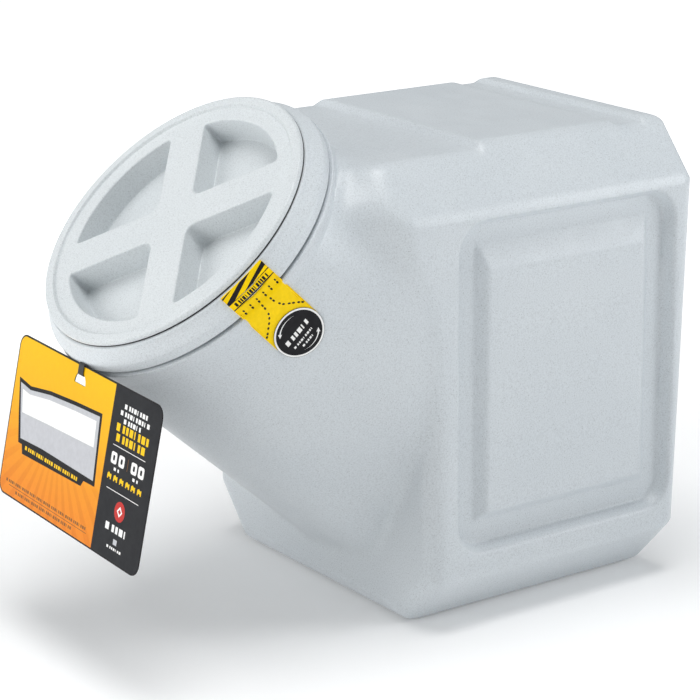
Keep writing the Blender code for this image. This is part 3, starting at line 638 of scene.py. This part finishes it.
def container_distance(x, y, z):
    """Signed distance, nearly, to the container's outside; the crown closes the neck above the top."""
    ax = np.abs(x)
    low_len = hypot(WAIST_LOW[0] - BASE_HALF, WAIST_LOW[1])
    high_len = hypot(WAIST_HIGH[0] - TOP_HALF, HEIGHT - WAIST_HIGH[1])
    run = (z - WAIST_LOW[1]) / (WAIST_HIGH[1] - WAIST_LOW[1])
    side = ax - WAIST_LOW[0] - (WAIST_HIGH[0] - WAIST_LOW[0]) * run + side_depth(y, z)
    low = ((ax - BASE_HALF) * WAIST_LOW[1] - z * (WAIST_LOW[0] - BASE_HALF)) / low_len
    high = ((ax - WAIST_HIGH[0]) * (HEIGHT - WAIST_HIGH[1])
            + (z - WAIST_HIGH[1]) * (WAIST_HIGH[0] - TOP_HALF)) / high_len
    f = rmax(side, low, WAIST_LOW_R)
    f = rmax(f, high, WAIST_HIGH_R)
    f = rmax(f, -z, FOOT_R)
    f = rmax(f, z - HEIGHT + top_drop(y), TOP_R)
    cap = rmin(FRONT_Y - y, neck_distance(x, y, z), FOOT_BLEND)
    up = np.clip((z - SHOULDER_START) / SHOULDER_RUN, 0, 1)
    up = up * up * (3 - 2 * up)
    f = rmax(f, cap, END_R + (SHOULDER_R - END_R) * up)
    rear = y - (FRONT_Y + BASE_LEN + (TOP_LEN - BASE_LEN) * z / HEIGHT)
    radius, turn, depth = polar(x, y, z)
    crown = np.maximum(radius - NECK_R, np.maximum(NECK_CLIP - depth, depth - CROWN_DEPTH))
    return np.minimum(rmax(f, rear, END_R), np.maximum(crown, CROWN_UP - radius * np.sin(turn)))


def corners(grid, cell, axis=None):
    """Values of a grid at cells' corners, moved one step along an axis if given."""
    at = cell.copy()
    if axis is not None:
        at[:, axis] += 1
    return grid[tuple(at.T)]


def surface_net(level, low, high, step):
    """Quads of the surface where the container's distance equals a level."""
    size = [int(ceil((high[i] - low[i]) / step)) + 1 for i in range(3)]
    axes = [low[i] + step * np.arange(size[i]) for i in range(3)]
    y, z = np.meshgrid(axes[1], axes[2], indexing="ij")
    values = np.empty(size, np.float32)
    for i in range(size[0]):
        values[i] = container_distance(np.full_like(y, axes[0][i]), y, z) - level
    inside = values < 0
    count = np.zeros([m - 1 for m in size], np.int8)
    for corner in np.ndindex(2, 2, 2):
        count += inside[tuple(slice(c, size[i] - 1 + c) for i, c in enumerate(corner))]
    active = (count > 0) & (count < 8)
    index = np.full(active.shape, -1, np.int64)
    index[active] = np.arange(active.sum())
    cell = np.argwhere(active)
    total = np.zeros((len(cell), 3))
    hits = np.zeros(len(cell))
    for axis in range(3):
        others = [i for i in range(3) if i != axis]
        for p, q in np.ndindex(2, 2):
            at = cell.copy()
            at[:, others[0]] += p
            at[:, others[1]] += q
            a = corners(values, at)
            b = corners(values, at, axis)
            crossed = (a < 0) != (b < 0)
            point = at.astype(float)
            point[:, axis] += np.where(crossed, a / np.where(crossed, a - b, 1), 0)
            total[crossed] += point[crossed]
            hits[crossed] += 1
    points = total / hits[:, None] * step + np.array(low)
    quads = []
    for axis in range(3):
        u, v = (axis + 1) % 3, (axis + 2) % 3
        before = inside[tuple(slice(0, size[i] - (i == axis)) for i in range(3))]
        after = inside[tuple(slice(int(i == axis), size[i]) for i in range(3))]
        edge = np.argwhere(before != after)
        quad = []
        for du, dv in ((-1, -1), (0, -1), (0, 0), (-1, 0)):
            at = edge.copy()
            at[:, u] += du
            at[:, v] += dv
            quad.append(index[tuple(at.T)])
        quad = np.stack(quad, 1)
        turned = after[tuple(edge.T)]
        quad[turned] = quad[turned][:, ::-1]
        quads.append(quad)
    return settle(points, level, step), np.concatenate(quads)


def settle(points, level, step):
    """Move points onto the level surface."""
    d = 1e-4
    for _ in range(3):
        x, y, z = points.T
        value = container_distance(x, y, z) - level
        grad = np.stack([
            container_distance(x + d, y, z) - container_distance(x - d, y, z),
            container_distance(x, y + d, z) - container_distance(x, y - d, z),
            container_distance(x, y, z + d) - container_distance(x, y, z - d)], 1) / (2 * d)
        move = (value / np.maximum((grad * grad).sum(1), 0.05))[:, None] * grad
        size = np.linalg.norm(move, axis=1, keepdims=True)
        points = points - move * np.minimum(1, step * 0.5 / np.maximum(size, 1e-12))
    return points


def build_container():
    """The hollow box with its neck, open at the mouth."""
    side, end, below, above = GRID_MARGIN
    low = [BASE_LOW.x - side, BASE_LOW.y - end, -below]
    high = [BASE_HIGH.x + side, BASE_HIGH.y + end, HEIGHT + above]
    step = GRID_FULL
    obj = from_arrays("container_shell", *surface_net(0.0, low, high, step))
    hollow = from_arrays("hollow", *surface_net(-WALL, low, high, GRID_HOLLOW))
    boolean(obj, hollow, "DIFFERENCE")
    bore_r = COLLAR_R - WALL
    start, stop = BORE_DEPTHS
    bore = from_bmesh("bore", lathe([(0, start), (bore_r, start), (bore_r, stop), (0, stop)], 96))
    boolean(obj, bore, "DIFFERENCE")
    drop_scraps(obj)
    return smooth(obj, 50.0)


def build_flange():
    """Top of the neck: collar with its snap bead, and the flange under the ring."""
    profile = rounded([
        (COLLAR_R - WALL, COLLAR_TOP, 0.0008), (COLLAR_R, COLLAR_TOP, 0.0008), (COLLAR_R, 0.0168, 0.0004),
        (BEAD_R, 0.0180, 0.0006), (BEAD_R, 0.0196, 0.0006), (COLLAR_R, 0.0208, 0.0004),
        (COLLAR_R, FLANGE_TOP, 0.0008), (FLANGE_R, FLANGE_TOP, 0.0009),
        (FLANGE_R - 0.0001, FLANGE_TOP + 0.0030, 0.004),
        (NECK_R - 0.0003, FLANGE_LOW + 0.0100, 0.012), (NECK_R - 0.0012, FLANGE_LOW + 0.0140, 0),
        (NECK_R - 0.0040, FLANGE_LOW + 0.0120, 0), (COLLAR_R - WALL, FLANGE_LOW - 0.0010, 0.002)])
    obj = from_bmesh("neck_flange", lathe(profile, 192))
    return smooth(obj, 40.0)


# ---------------- ring, seals, lid

def thread_ridge(root_r, tip_r, first, phase):
    """One start of a screw thread that fades in and out at its ends."""
    steps = int(110 * THREAD_TURNS)
    sink = copysign(THREAD_SINK, root_r - tip_r)
    loops = []
    for i in range(steps + 1):
        turn = THREAD_TURNS * i / steps
        angle = phase - 2 * pi * turn
        depth = first + LEAD * turn
        fade = min(1.0, THREAD_FADE * min(turn, THREAD_TURNS - turn) + THREAD_START)
        tip = root_r + (tip_r - root_r) * fade
        section = [(root_r + sink, depth - TOOTH / 2), (tip, depth - TOOTH_TIP / 2),
                   (tip, depth + TOOTH_TIP / 2), (root_r + sink, depth + TOOTH / 2)]
        loops.append([neck_point(r, angle, s) for r, s in section])
    return from_bmesh("ridge", skin(loops))


def add_threads(obj, root_r, tip_r, first):
    """Both starts of the thread."""
    for k in range(2):
        boolean(obj, thread_ridge(root_r, tip_r, first, radians(20 + 180 * k)), "UNION")


def build_ring():
    """The snap ring: sloped skirt outside, threaded barrel inside, a seat for the lid's gasket."""
    profile = rounded([
        (SEAT_R + 0.0010, RING_TOP, 0.0008), (RING_LIP_R, RING_TOP, 0.0016),
        (RING_LIP_R + 0.0008, RING_SHOULDER, 0.004), (*RING_KNEE, 0.0022),
        (RING_R, RING_FOOT, 0.004), (RING_R, RING_LOW, 0.0011),
        (0.1366, RING_LOW, 0.0008), (0.1362, 0.0148, 0.001), (0.1352, 0.0114, 0.0006),
        (BARREL_OUT_R, 0.0114, 0.0010), (BARREL_OUT_R, BARREL_LOW, 0.0008), (BARREL_R, BARREL_LOW, 0.0008),
        (BARREL_R, SEAT_DEPTH, 0.0008), (SEAT_R, SEAT_DEPTH, 0.0008)])
    obj = from_bmesh("snap_ring_shell", lathe(profile, 192))
    add_threads(obj, BARREL_R, FEMALE_R, FEMALE_FIRST)
    return smooth(obj, 40.0)


def build_ring_seal():
    """Flat seal between the ring and the neck's lip."""
    middle, width, top, height = RING_SEAL
    r0, r1 = middle - width / 2, middle + width / 2
    c = 0.0005
    profile = rounded([(r0, top, c), (r1, top, c), (r1, top + height, c), (r0, top + height, c)], 3)
    obj = from_bmesh("ring_seal", lathe(profile, 160))
    return smooth(obj, 50.0)


def build_lid_seal_and_shade_lip():
    """The lid's gasket: a bead in the ring's seat, with a flat black lip out to the lid's edge that is
    painted shade, a dark sheet filling the gap between lid and ring where there is only shadow.
    """
    middle, depth, tube = LID_SEAL
    # Painted shadow: the flat black lip fills the gap from under the lid's rim down to the ring's top.
    shade_lip_top = LID_EDGE + 0.00005
    shade_lip_low = RING_TOP - 0.0001
    profile = rounded([(middle - tube, shade_lip_top, 0.0003), (LID_R - 0.0001, shade_lip_top, 0.0002),
                       (LID_R - 0.0001, shade_lip_low, 0.0003), (middle + tube, shade_lip_low, 0.0006),
                       (middle + tube, depth + tube, 0.0014), (middle - tube, depth + tube, 0.0014)])
    obj = from_bmesh("lid_seal_and_shade_lip", lathe(profile, 160))
    return smooth(obj, 60.0)


def fillet(corner, before, after, radius, steps):
    """Points of a fillet from the side of before to the side of after."""
    corner, before, after = Vector(corner), Vector(before), Vector(after)
    a = (before - corner).normalized()
    b = (after - corner).normalized()
    half = a.angle(b) / 2
    centre = corner + (a + b).normalized() * (radius / sin(half))
    start = corner + a * (radius / tan(half)) - centre
    end = corner + b * (radius / tan(half)) - centre
    return arc_points(centre, start, end, steps)


def pocket_outline(arm, radius, inner_r, outer_r):
    """Outline of the pocket between two arms, in the frame where the arms lie on the axes."""
    far = sqrt(radius ** 2 - arm ** 2)
    points = list(reversed(fillet((arm, arm), (far, arm), (arm, far), inner_r, 12)))
    start = atan2(arm + outer_r, sqrt((radius - outer_r) ** 2 - (arm + outer_r) ** 2))
    for turn, middle in enumerate((start, pi / 2 - start)):
        cx = (radius - outer_r) * cos(middle)
        cy = (radius - outer_r) * sin(middle)
        first = -pi / 2 if turn == 0 else middle
        last = middle if turn == 0 else pi
        for i in range(7):
            a = first + (last - first) * i / 6
            points.append(Vector((cx + outer_r * cos(a), cy + outer_r * sin(a))))
        if turn == 0:
            for i in range(1, 22):
                a = start + (pi / 2 - 2 * start) * i / 22
                points.append(Vector((radius * cos(a), radius * sin(a))))
    return points


def pocket_block(quarter, levels):
    """A block for one pocket; each level is (depth, distance outside the pocket's mouth outline)."""
    turn = ARM_ANGLE + quarter * pi / 2
    loops = []
    for depth, grow in levels:
        outline = pocket_outline(ARM_HALF - grow, POCKET_R + grow, POCKET_INNER_R + grow * 0.8,
                                 max(POCKET_OUTER_R + grow, 0.0012))
        loops.append([neck_point(p.length, atan2(p.y, p.x) + turn, depth) for p in outline])
    return from_bmesh("block", skin(loops))


def pocket_levels():
    """Mouth fillet, drafted wall and floor fillet of a pocket as (depth, grow)."""
    mouth, floor_r = POCKET_MOUTH_R, POCKET_FLOOR_R
    levels = [(DISC_DEPTH - 0.0015, mouth * 1.02)]
    for i in range(6):
        a = radians(8 + 82 * i / 5)
        levels.append((DISC_DEPTH + mouth * (1 - cos(a)), mouth * (1 - sin(a))))
    floor = DISC_DEPTH + POCKET_DEPTH
    for i in range(6):
        a = radians(90 * i / 5)
        levels.append((floor - floor_r * (1 - sin(a)),
                       -POCKET_DRAFT - floor_r * (1 - cos(a)) * 0.9))
    return levels


def build_lid():
    """Disc with a raised rim, four finger pockets with their wells below, and a threaded skirt."""
    profile = rounded([
        (0, DISC_DEPTH, 0), (BAND_R - 0.0004, DISC_DEPTH, 0.0014), (BAND_R + 0.0012, 0, 0.0012),
        (LID_R - 0.0002, 0, 0.0024), (LID_R, LID_EDGE, 0.0010), (SKIRT_R + 0.0012, LID_EDGE, 0.0006),
        (SKIRT_R, SKIRT_LOW, 0.0008), (SKIRT_IN_R, SKIRT_LOW, 0.0008), (SKIRT_IN_R, DISC_UNDER, 0.0010),
        (0, DISC_UNDER, 0)])
    obj = from_bmesh("spin_lid_shell", lathe(profile, 192))
    floor = DISC_DEPTH + POCKET_DEPTH
    for quarter in range(4):
        well = pocket_block(quarter, [
            (DISC_UNDER - 0.001, WELL_WALL), (floor - 0.002, WELL_WALL - POCKET_DRAFT),
            (floor + 0.0025, WELL_WALL - POCKET_DRAFT - 0.003)])
        boolean(obj, well, "UNION")
    for quarter in range(4):
        boolean(obj, pocket_block(quarter, pocket_levels()), "DIFFERENCE")
    add_threads(obj, SKIRT_R, MALE_R, MALE_FIRST)
    drop_scraps(obj)
    return smooth(obj, 38.0, weighted=True)


# ---------------- printed sheets

def inside_polygon(x, y, poly):
    """True if the point lies in the polygon."""
    hit = False
    for (x0, y0), (x1, y1) in zip(poly, poly[1:] + poly[:1]):
        if (y0 > y) != (y1 > y) and x < x0 + (x1 - x0) * (y - y0) / (y1 - y0):
            hit = not hit
    return hit


def printed_sheet(name, outline, holes, prints, place, thickness, pitch):
    """A thin closed sheet; prints are (material index, polygon), place maps (u, v, w) to a point."""
    verts, edges = [], []
    for poly in [outline] + holes + [p for _, p in prints]:
        first = len(verts)
        verts += [Vector(p) for p in poly]
        edges += [(first + i, first + (i + 1) % len(poly)) for i in range(len(poly))]
    us = [p[0] for p in outline]
    vs = [p[1] for p in outline]
    nu = int((max(us) - min(us)) / pitch)
    nv = int((max(vs) - min(vs)) / pitch)
    for i in range(1, nu):
        for j in range(1, nv):
            u = min(us) + (max(us) - min(us)) * i / nu
            v = min(vs) + (max(vs) - min(vs)) * j / nv
            if inside_polygon(u, v, outline):
                verts.append(Vector((u, v)))
    flat, _, faces = delaunay_2d_cdt(verts, edges, [], 0, 1e-6)[:3]
    boxes = [(min(p[0] for p in poly), max(p[0] for p in poly),
              min(p[1] for p in poly), max(p[1] for p in poly)) for _, poly in prints]
    bm = bmesh.new()
    low = [bm.verts.new(place(p.x, p.y, 0.0)) for p in flat]
    high = [bm.verts.new(place(p.x, p.y, thickness)) for p in flat]
    for face in faces:
        x = sum(flat[i].x for i in face) / 3
        y = sum(flat[i].y for i in face) / 3
        if not inside_polygon(x, y, outline) or any(inside_polygon(x, y, h) for h in holes):
            continue
        index = 0
        for (kind, poly), (x0, x1, y0, y1) in zip(prints, boxes):
            if x0 <= x <= x1 and y0 <= y <= y1 and inside_polygon(x, y, poly):
                index = kind
        bm.faces.new([high[i] for i in face]).material_index = index
        bm.faces.new([low[i] for i in reversed(face)])
    twin = dict(zip(high, low))
    rim = [e for e in bm.edges if e.is_boundary and e.verts[0] in twin]
    for edge in rim:
        a, b = edge.verts
        bm.faces.new((a, b, twin[b], twin[a]))
    loose = [v for v in bm.verts if not v.link_faces]
    bmesh.ops.delete(bm, geom=loose, context="VERTS")
    return from_bmesh(name, bm)


def box_poly(u0, v0, u1, v1):
    """A rectangle's corners."""
    return [(u0, v0), (u1, v0), (u1, v1), (u0, v1)]


def disc_poly(u, v, radius, steps=24):
    """A circle as a polygon."""
    return [(u + radius * cos(2 * pi * i / steps), v + radius * sin(2 * pi * i / steps))
            for i in range(steps)]


def round_box(u0, v0, u1, v1, radius, steps=5):
    """A rectangle with round corners."""
    points = []
    for cu, cv, turn in ((u1 - radius, v1 - radius, 0), (u0 + radius, v1 - radius, 1),
                         (u0 + radius, v0 + radius, 2), (u1 - radius, v0 + radius, 3)):
        for i in range(steps + 1):
            a = radians(90.0 * (turn + i / steps))
            points.append((cu + radius * cos(a), cv + radius * sin(a)))
    return points


def neck_radius(tree, angle, depth):
    """Radius of the container's surface at an angle and depth."""
    axis = neck_point(0.0, angle, depth)
    far = neck_point(0.40, angle, depth)
    hit = tree.ray_cast(far, (axis - far).normalized())
    return (hit[0] - axis).length


def linear(keys, t):
    """Value at t between (t, value) keys."""
    for (t0, v0), (t1, v1) in zip(keys, keys[1:]):
        if t <= t1:
            return v0 + (v1 - v0) * (t - t0) / (t1 - t0)
    return keys[-1][1]


def clip_u(poly, low, high):
    """Clip a polygon to a span of u."""
    for bound, keep_low in ((low, True), (high, False)):
        out = []
        for (u0, v0), (u1, v1) in zip(poly, poly[1:] + poly[:1]):
            in0 = u0 >= bound if keep_low else u0 <= bound
            in1 = u1 >= bound if keep_low else u1 <= bound
            if in0:
                out.append((u0, v0))
            if in0 != in1:
                t = (bound - u0) / (u1 - u0)
                out.append((bound, v0 + (v1 - v0) * t))
        poly = out
        if len(poly) < 3:
            return []
    return poly


def mm(points):
    """Points in millimetres as metres."""
    return [(u / 1000, v / 1000) for u, v in points]


def block_row(kind, u0, u1, v, height, unit, tilt=0.0):
    """A row of plain blocks, in millimetres, standing in for a line of small print."""
    pattern = (3, 2, 2, 3, 1, 2, 3, 2, 1, 3, 2, 2)
    out = []
    u = u0
    step = 0
    while True:
        width = unit * pattern[step % len(pattern)]
        if u + width > u1:
            break
        lift = tilt * (u - u0)
        out.append((kind, mm([(u, v + lift), (u + width, v + lift + tilt * width),
                              (u + width, v + lift + tilt * width + height), (u, v + lift + height)])))
        u += width + unit * (1.1 if step % 4 else 2.4)
        step += 1
    return out


def dash(kind, u, v, du, dv, length, width):
    """A short rounded dash, in millimetres, centred at (u, v) along (du, dv)."""
    size = hypot(du, dv)
    du, dv = du / size, dv / size
    points = []
    for i in range(10):
        a = 2 * pi * i / 10
        along, across = cos(a) * length / 2, sin(a) * width / 2
        points.append((u + du * along - dv * across, v + dv * along + du * across))
    return kind, mm(points)


def tape_prints():
    """Hazard bars, two rules with a row of blocks between, six dash pairs and two curved trails."""
    edge = 1000 * TAPE_W / 2 - 0.02
    prints = [(1, mm(p)) for p in (
        [(-2.6, 6.62), (9.8, 6.62), (-15.4, 14.0), (-edge, 14.0), (-edge, 12.6)],
        [(edge, 8.1), (edge, 11.6), (4.4, 14.0), (-4.4, 14.0)],
        [(-14.8, 6.62), (-11.4, 6.62), (-edge, 9.2), (-edge, 7.8)],
        box_poly(-edge, 14.0, edge, 14.7), box_poly(-edge, 18.9, edge, 19.6))]
    prints += block_row(1, -18.5, 18.5, 15.3, 3.0, 0.72)
    for u in (-17.4, -10.1, -2.9, 4.6, 11.5, 18.8):
        prints.append(dash(1, u, 25.0, 0.15, 1, 2.6, 1.6))
        prints.append(dash(1, u - 0.2, 28.2, 0.15, 1, 2.6, 2.0))
    for trail in ([(-3.8, 32.3), (-4.1, 36.1), (-5.4, 43.2), (-7.6, 47.4), (-11.0, 51.7), (-14.3, 54.9),
                   (-18.1, 58.6), (-20.6, 60.9)],
                  [(5.2, 33.0), (5.4, 36.6), (7.1, 43.4), (8.9, 47.3), (12.5, 51.5), (15.2, 54.3),
                   (18.6, 57.7), (20.9, 60.4)]):
        for i, (u, v) in enumerate(trail):
            a = trail[max(i - 1, 0)]
            b = trail[min(i + 1, len(trail) - 1)]
            prints.append(dash(1, u, v, b[0] - a[0], b[1] - a[1], 3.0, 1.9))
    return prints


def build_tape(tree):
    """Seal tape over the ring, the flange and the neck."""
    knee_r, knee = RING_KNEE
    band_r = RING_R + 0.0002
    ring = [(RING_TOP, RING_LIP_R), (RING_SHOULDER, RING_LIP_R + 0.0012), (knee, knee_r + 0.0004),
            (RING_FOOT, band_r), (RING_LOW, band_r)]

    def radius_at(angle, depth):
        """The tape's inner radius: on the ring, over the gap and flange, then on the neck."""
        if depth <= RING_LOW:
            return linear(ring, depth)
        if depth < TAPE_REST:
            rest = max(neck_radius(tree, angle, TAPE_REST), NECK_R)
            return linear([(RING_LOW, band_r), (FLANGE_TOP, FLANGE_R + TAPE_T),
                           (FLANGE_LOW, FLANGE_R + TAPE_T), (TAPE_REST, rest)], depth)
        return neck_radius(tree, angle, depth)

    def place(u, v, w):
        """Lay the strip along its slanted middle line."""
        middle = TAPE_ANGLE + TAPE_SLANT * (v - RING_TOP)
        angle = middle + u / radius_at(middle, v)
        return neck_point(radius_at(angle, v) + TAPE_LIFT + w, angle, v)

    top = RING_TOP + 0.0004
    half = TAPE_W / 2
    obj = printed_sheet("seal_tape_strip", box_poly(-half, top, half, TAPE_END), [], tape_prints(), place,
                        TAPE_T, 0.0018)
    return smooth(obj, 40.0)


def arc_arrow(kind, radius, start, end, width):
    """A curved arrow, in millimetres and degrees, with its head past the end angle."""
    sign = 1 if end > start else -1
    turns = [radians(start + (end - start) * i / 14) for i in range(15)]
    spread = [width * i / 28 for i in range(15)]
    barb = 1.8
    path = [(radius + grow, a) for grow, a in zip(spread, turns)]
    path += [(radius + barb, turns[-1]), (radius, turns[-1] + sign * radians(13)),
             (radius - barb, turns[-1])]
    path += [(radius - grow, a) for grow, a in reversed(list(zip(spread, turns)))]
    return kind, mm([(r * cos(a), r * sin(a)) for r, a in path])


def build_sticker(tree):
    """Round label: white rim, two curved arrows and rows of plain blocks."""
    centre_r = neck_radius(tree, STICKER_ANGLE, STICKER_DEPTH)

    def place(u, v, w):
        """Wrap the label round the neck."""
        angle = STICKER_ANGLE + u / centre_r
        depth = STICKER_DEPTH + v
        return neck_point(neck_radius(tree, angle, depth) + STICKER_LIFT + w, angle, depth)

    prints = [(1, disc_poly(0, 0, STICKER_R - 0.0002, 64)), (0, disc_poly(0, 0, STICKER_R - 0.0018, 64)),
              arc_arrow(1, 17.2, -66, -137, 1.2), arc_arrow(1, 17.2, 112, 44, 1.2)]
    prints += block_row(1, -14.5, 14.6, -1.6, 4.8, 1.25, -0.17)
    prints += block_row(1, -11.5, 12.5, 7.4, 2.0, 0.72, -0.17)
    prints += block_row(1, -5.0, 8.4, 11.4, 2.0, 0.72, -0.17)
    obj = printed_sheet("round_label", disc_poly(0, 0, STICKER_R, 72), [], prints, place, STICKER_T, 0.003)
    return smooth(obj, 40.0)


def tag_frame():
    """The card's own directions: right, down and towards the viewer."""
    right = Vector((cos(TAG_YAW), sin(TAG_YAW), 0))
    front = Vector((sin(TAG_YAW), -cos(TAG_YAW), 0))
    down = -Vector((0, 0, 1)) * cos(TAG_LEAN) + front * sin(TAG_LEAN)
    return right, down, down.cross(right).normalized()


def tag_point(u, v, w):
    """A point on the card, u right of its middle, v down from its top edge."""
    right, down, normal = tag_frame()
    return TAG_TOP + right * u + down * v + normal * w


def tag_prints():
    """Material indexes: 1 amber, 2 charcoal, 3 white, 4 yellow, 5 red, 6 brown, 7 silver, 0 black."""
    half = TAG_W / 2
    rim = 0.0014
    card = round_box(rim - half, rim, half - rim, TAG_H - rim, TAG_R - 0.0012, 8)
    prints = [(1, card), (2, clip_u(card, 0.048, 1.0))]
    # Blank name plate with its lower banner.
    prints.append((0, mm([(-119, 38), (-96, 41), (-60, 36), (-14, 33), (33, 31), (36, 66), (38.5, 93),
                          (19, 93.5), (15.5, 99), (-94, 102), (-97, 94), (-104, 94), (-112, 66)])))
    prints.append((7, mm([(-115.5, 42), (-96, 44.5), (-60, 39.5), (-14, 36.5), (29.5, 34.5), (32.5, 66),
                          (34.5, 89), (-60, 88), (-101, 89.5), (-108.5, 66)])))
    prints.append((3, mm([(-110, 47), (-96, 48.5), (-60, 44), (-14, 41), (25, 39.5), (27, 62), (-60, 65),
                          (-105, 67)])))
    prints += block_row(4, -90, 11, 93.6, 3.4, 1.15)
    # Fine print under the plate.
    prints += block_row(6, -115, 36, 129.6, 2.6, 0.95)
    prints.append((6, mm(box_poly(-109, 134.1, 37, 134.6))))
    prints += block_row(6, -95, 13, 136.6, 2.6, 0.95)
    # Right panel.
    for u0, u1, v in ((67, 106, 13.4), (62, 111, 19.6), (69, 103, 25.6)):
        prints += block_row(3, u0, u1, v, 4.0, 1.35)
    for u0, u1, v in ((59, 113, 31.0), (61, 112, 39.6)):
        prints += block_row(4, u0, u1, v, 6.6, 1.9)
    for v in (49.6, 86.4):
        prints.append((3, mm(box_poly(58, v, 112.5, v + 0.6))))
    for u in (58, 71, 92, 104):
        prints.append((3, round_box(u / 1000, 0.0555, (u + 9.6) / 1000, 0.0655, 0.0022)))
        prints.append((2, round_box((u + 3.2) / 1000, 0.0582, (u + 6.4) / 1000, 0.0628, 0.0012)))
    prints.append((6, mm(box_poly(85.9, 55.5, 86.6, 65.8))))
    prints += block_row(3, 65, 75, 68.0, 2.6, 1.2) + block_row(3, 97, 107, 68.0, 2.6, 1.2)
    for u in (59.5, 70, 80.3, 90.6, 100, 110.5):
        prints.append((4, mm([
            (u - 3.2, 79.2), (u - 3.2, 74.8), (u - 0.8, 73.6), (u + 1.2, 75.0), (u + 3.4, 74.4),
            (u + 3.4, 79.2), (u + 1.6, 79.2), (u + 1.4, 77.6), (u - 1.4, 77.6), (u - 1.6, 79.2)])))
    seal_u, seal_v = 0.0852, 0.1008
    prints.append((5, disc_poly(seal_u, seal_v, 0.0086, 28)))
    for kind, r in ((3, 4.6), (5, 2.4)):
        prints.append((kind, [(seal_u + u, seal_v + v) for u, v in mm([(0, -r), (r, 0), (0, r), (-r, 0)])]))
    prints += block_row(3, 66, 105, 113.6, 6.2, 2.0)
    prints.append((7, mm(box_poly(82.4, 124.6, 88.4, 129.2))))
    prints += block_row(3, 73, 99, 131.8, 2.2, 0.95)
    return prints


def build_tag():
    """The hanging card with its half-moon hole."""
    hole_u, hole_v, hole_w, hole_h = TAG_HOLE
    hole = [(hole_u + hole_w * cos(pi * i / 16), hole_v - hole_h * sin(pi * i / 16))
            for i in range(17)]
    half = TAG_W / 2
    obj = printed_sheet("hang_tag_card", round_box(-half, 0, half, TAG_H, TAG_R, 8), [hole], tag_prints(),
                        lambda u, v, w: tag_point(u, v, w - TAG_T / 2), TAG_T, 0.02)
    return smooth(obj, 40.0)


# ---------------- stage

def build_stage():
    """Pale floor, soft lamps, dim world and the camera."""
    bpy.ops.mesh.primitive_plane_add(size=FLOOR_SIZE, location=(0, 0, FLOOR_Z))
    floor = bpy.context.object
    floor.name = "studio_floor"
    mat, bsdf = shader("studio_floor", 0.85)
    bsdf.inputs["Base Color"].default_value = (*(FLOOR_TONE,) * 3, 1)
    away = node(mat, "ShaderNodeVectorMath", operation="LENGTH")
    link(mat, object_coord(mat), away.inputs[0])
    glow = node(mat, "ShaderNodeMapRange", interpolation_type="SMOOTHSTEP")
    for key, value in FLOOR_GLOW:
        glow.inputs[key].default_value = value
    link(mat, away.outputs["Value"], glow.inputs["Value"])
    link(mat, glow.outputs["Result"], bsdf.inputs["Emission Strength"])
    bsdf.inputs["Emission Color"].default_value = (1, 1, 1, 1)
    floor.data.materials.append(mat)
    world = bpy.data.worlds.new("studio")
    bpy.context.scene.world = world
    world.use_nodes = True
    back = world.node_tree.nodes["Background"]
    back.inputs["Color"].default_value = (0.95, 0.98, 1.0, 1)
    back.inputs["Strength"].default_value = WORLD_STRENGTH
    for name, at, size, power, colour in LAMPS:
        data = bpy.data.lights.new(name, "AREA")
        data.shape = "DISK"
        data.size = size
        data.energy = power
        data.color = colour
        lamp = new_object(name, data)
        lamp.location = at
        aim = AIM - Vector(at)
        lamp.rotation_euler = aim.to_track_quat("-Z", "Y").to_euler()
    cam = bpy.data.cameras.new("camera")
    cam.lens = LENS
    cam.sensor_width = 36.0
    holder = new_object("camera", cam)
    right = CAMERA_RIGHT.normalized()
    up = (CAMERA_UP - right * CAMERA_UP.dot(right)).normalized()
    turned = Matrix((right, up, right.cross(up))).transposed().to_4x4()
    holder.matrix_world = Matrix.Translation(CAMERA_AT) @ turned
    bpy.context.scene.camera = holder
    bpy.context.scene.view_settings.view_transform = "Standard"


# ---------------- assembly

body_plastic = speckled("body_plastic_granite", (0.605, 0.645, 0.672), 0.36)
ring_plastic = speckled("ring_plastic_granite", (0.625, 0.665, 0.69), 0.40)
lid_plastic = speckled("lid_plastic_granite", (0.62, 0.655, 0.67), 0.40)
# This black rubber also makes the lid seal's flat lip, which paints the shadow in the gap between lid and
# ring.
black_seal_and_shade_rubber = rubber("seal_rubber", (0.02, 0.02, 0.022), 0.6)
strap = rubber("strap_black", (0.012, 0.012, 0.013), 0.5)
yellow = ink("tape_yellow", (0.93, 0.63, 0.004), 0.36)
black = ink("print_black", (0.016, 0.016, 0.018), 0.5, 0.15)
white = ink("print_white", (0.86, 0.86, 0.85), 0.42, 0.03)
amber = amber_ink("tag_amber")
charcoal = ink("tag_charcoal", (0.020, 0.021, 0.024), 0.5, 0.1)
card_yellow = ink("tag_yellow", (0.90, 0.56, 0.006))
red = ink("tag_red", (0.52, 0.035, 0.03))
brown = ink("tag_brown", (0.20, 0.09, 0.03))
silver = ink("tag_silver", (0.50, 0.51, 0.54), 0.35)

container = build_container()
tree = BVHTree.FromObject(container, bpy.context.evaluated_depsgraph_get())
finish_piece(container, "container", "body_plastic", body_plastic, replaces="container_body")
finish_piece(build_flange(), "container", "body_plastic", body_plastic)
finish_piece(build_ring(), "container", "ring_plastic", ring_plastic, replaces="snap_ring")
finish_piece(build_ring_seal(), "container", "ring_seal_rubber", black_seal_and_shade_rubber, replaces="ring_gasket")
# The lid's seal carries a black lip that is painted shade for the gap between lid and ring.
finish_piece(build_lid_seal_and_shade_lip(), "lid_seal", "lid_seal_rubber", black_seal_and_shade_rubber, replaces="lid_gasket")
finish_piece(build_lid(), "lid", "lid_plastic", lid_plastic, replaces="spin_lid")
finish_piece(build_tape(tree), "container", "tape_film", yellow, black, replaces="seal_tape")
finish_piece(build_sticker(tree), "container", "sticker_paper", black, white, replaces="round_sticker")
finish_piece(build_tag(), "tag", "tag_card", black, amber, charcoal, white, card_yellow, red, brown, silver,
             replaces="hang_tag")
tie = frame["nodes"]["tag_tie"]
tie.data.materials.clear()
tie.data.materials.append(strap)

build_stage()
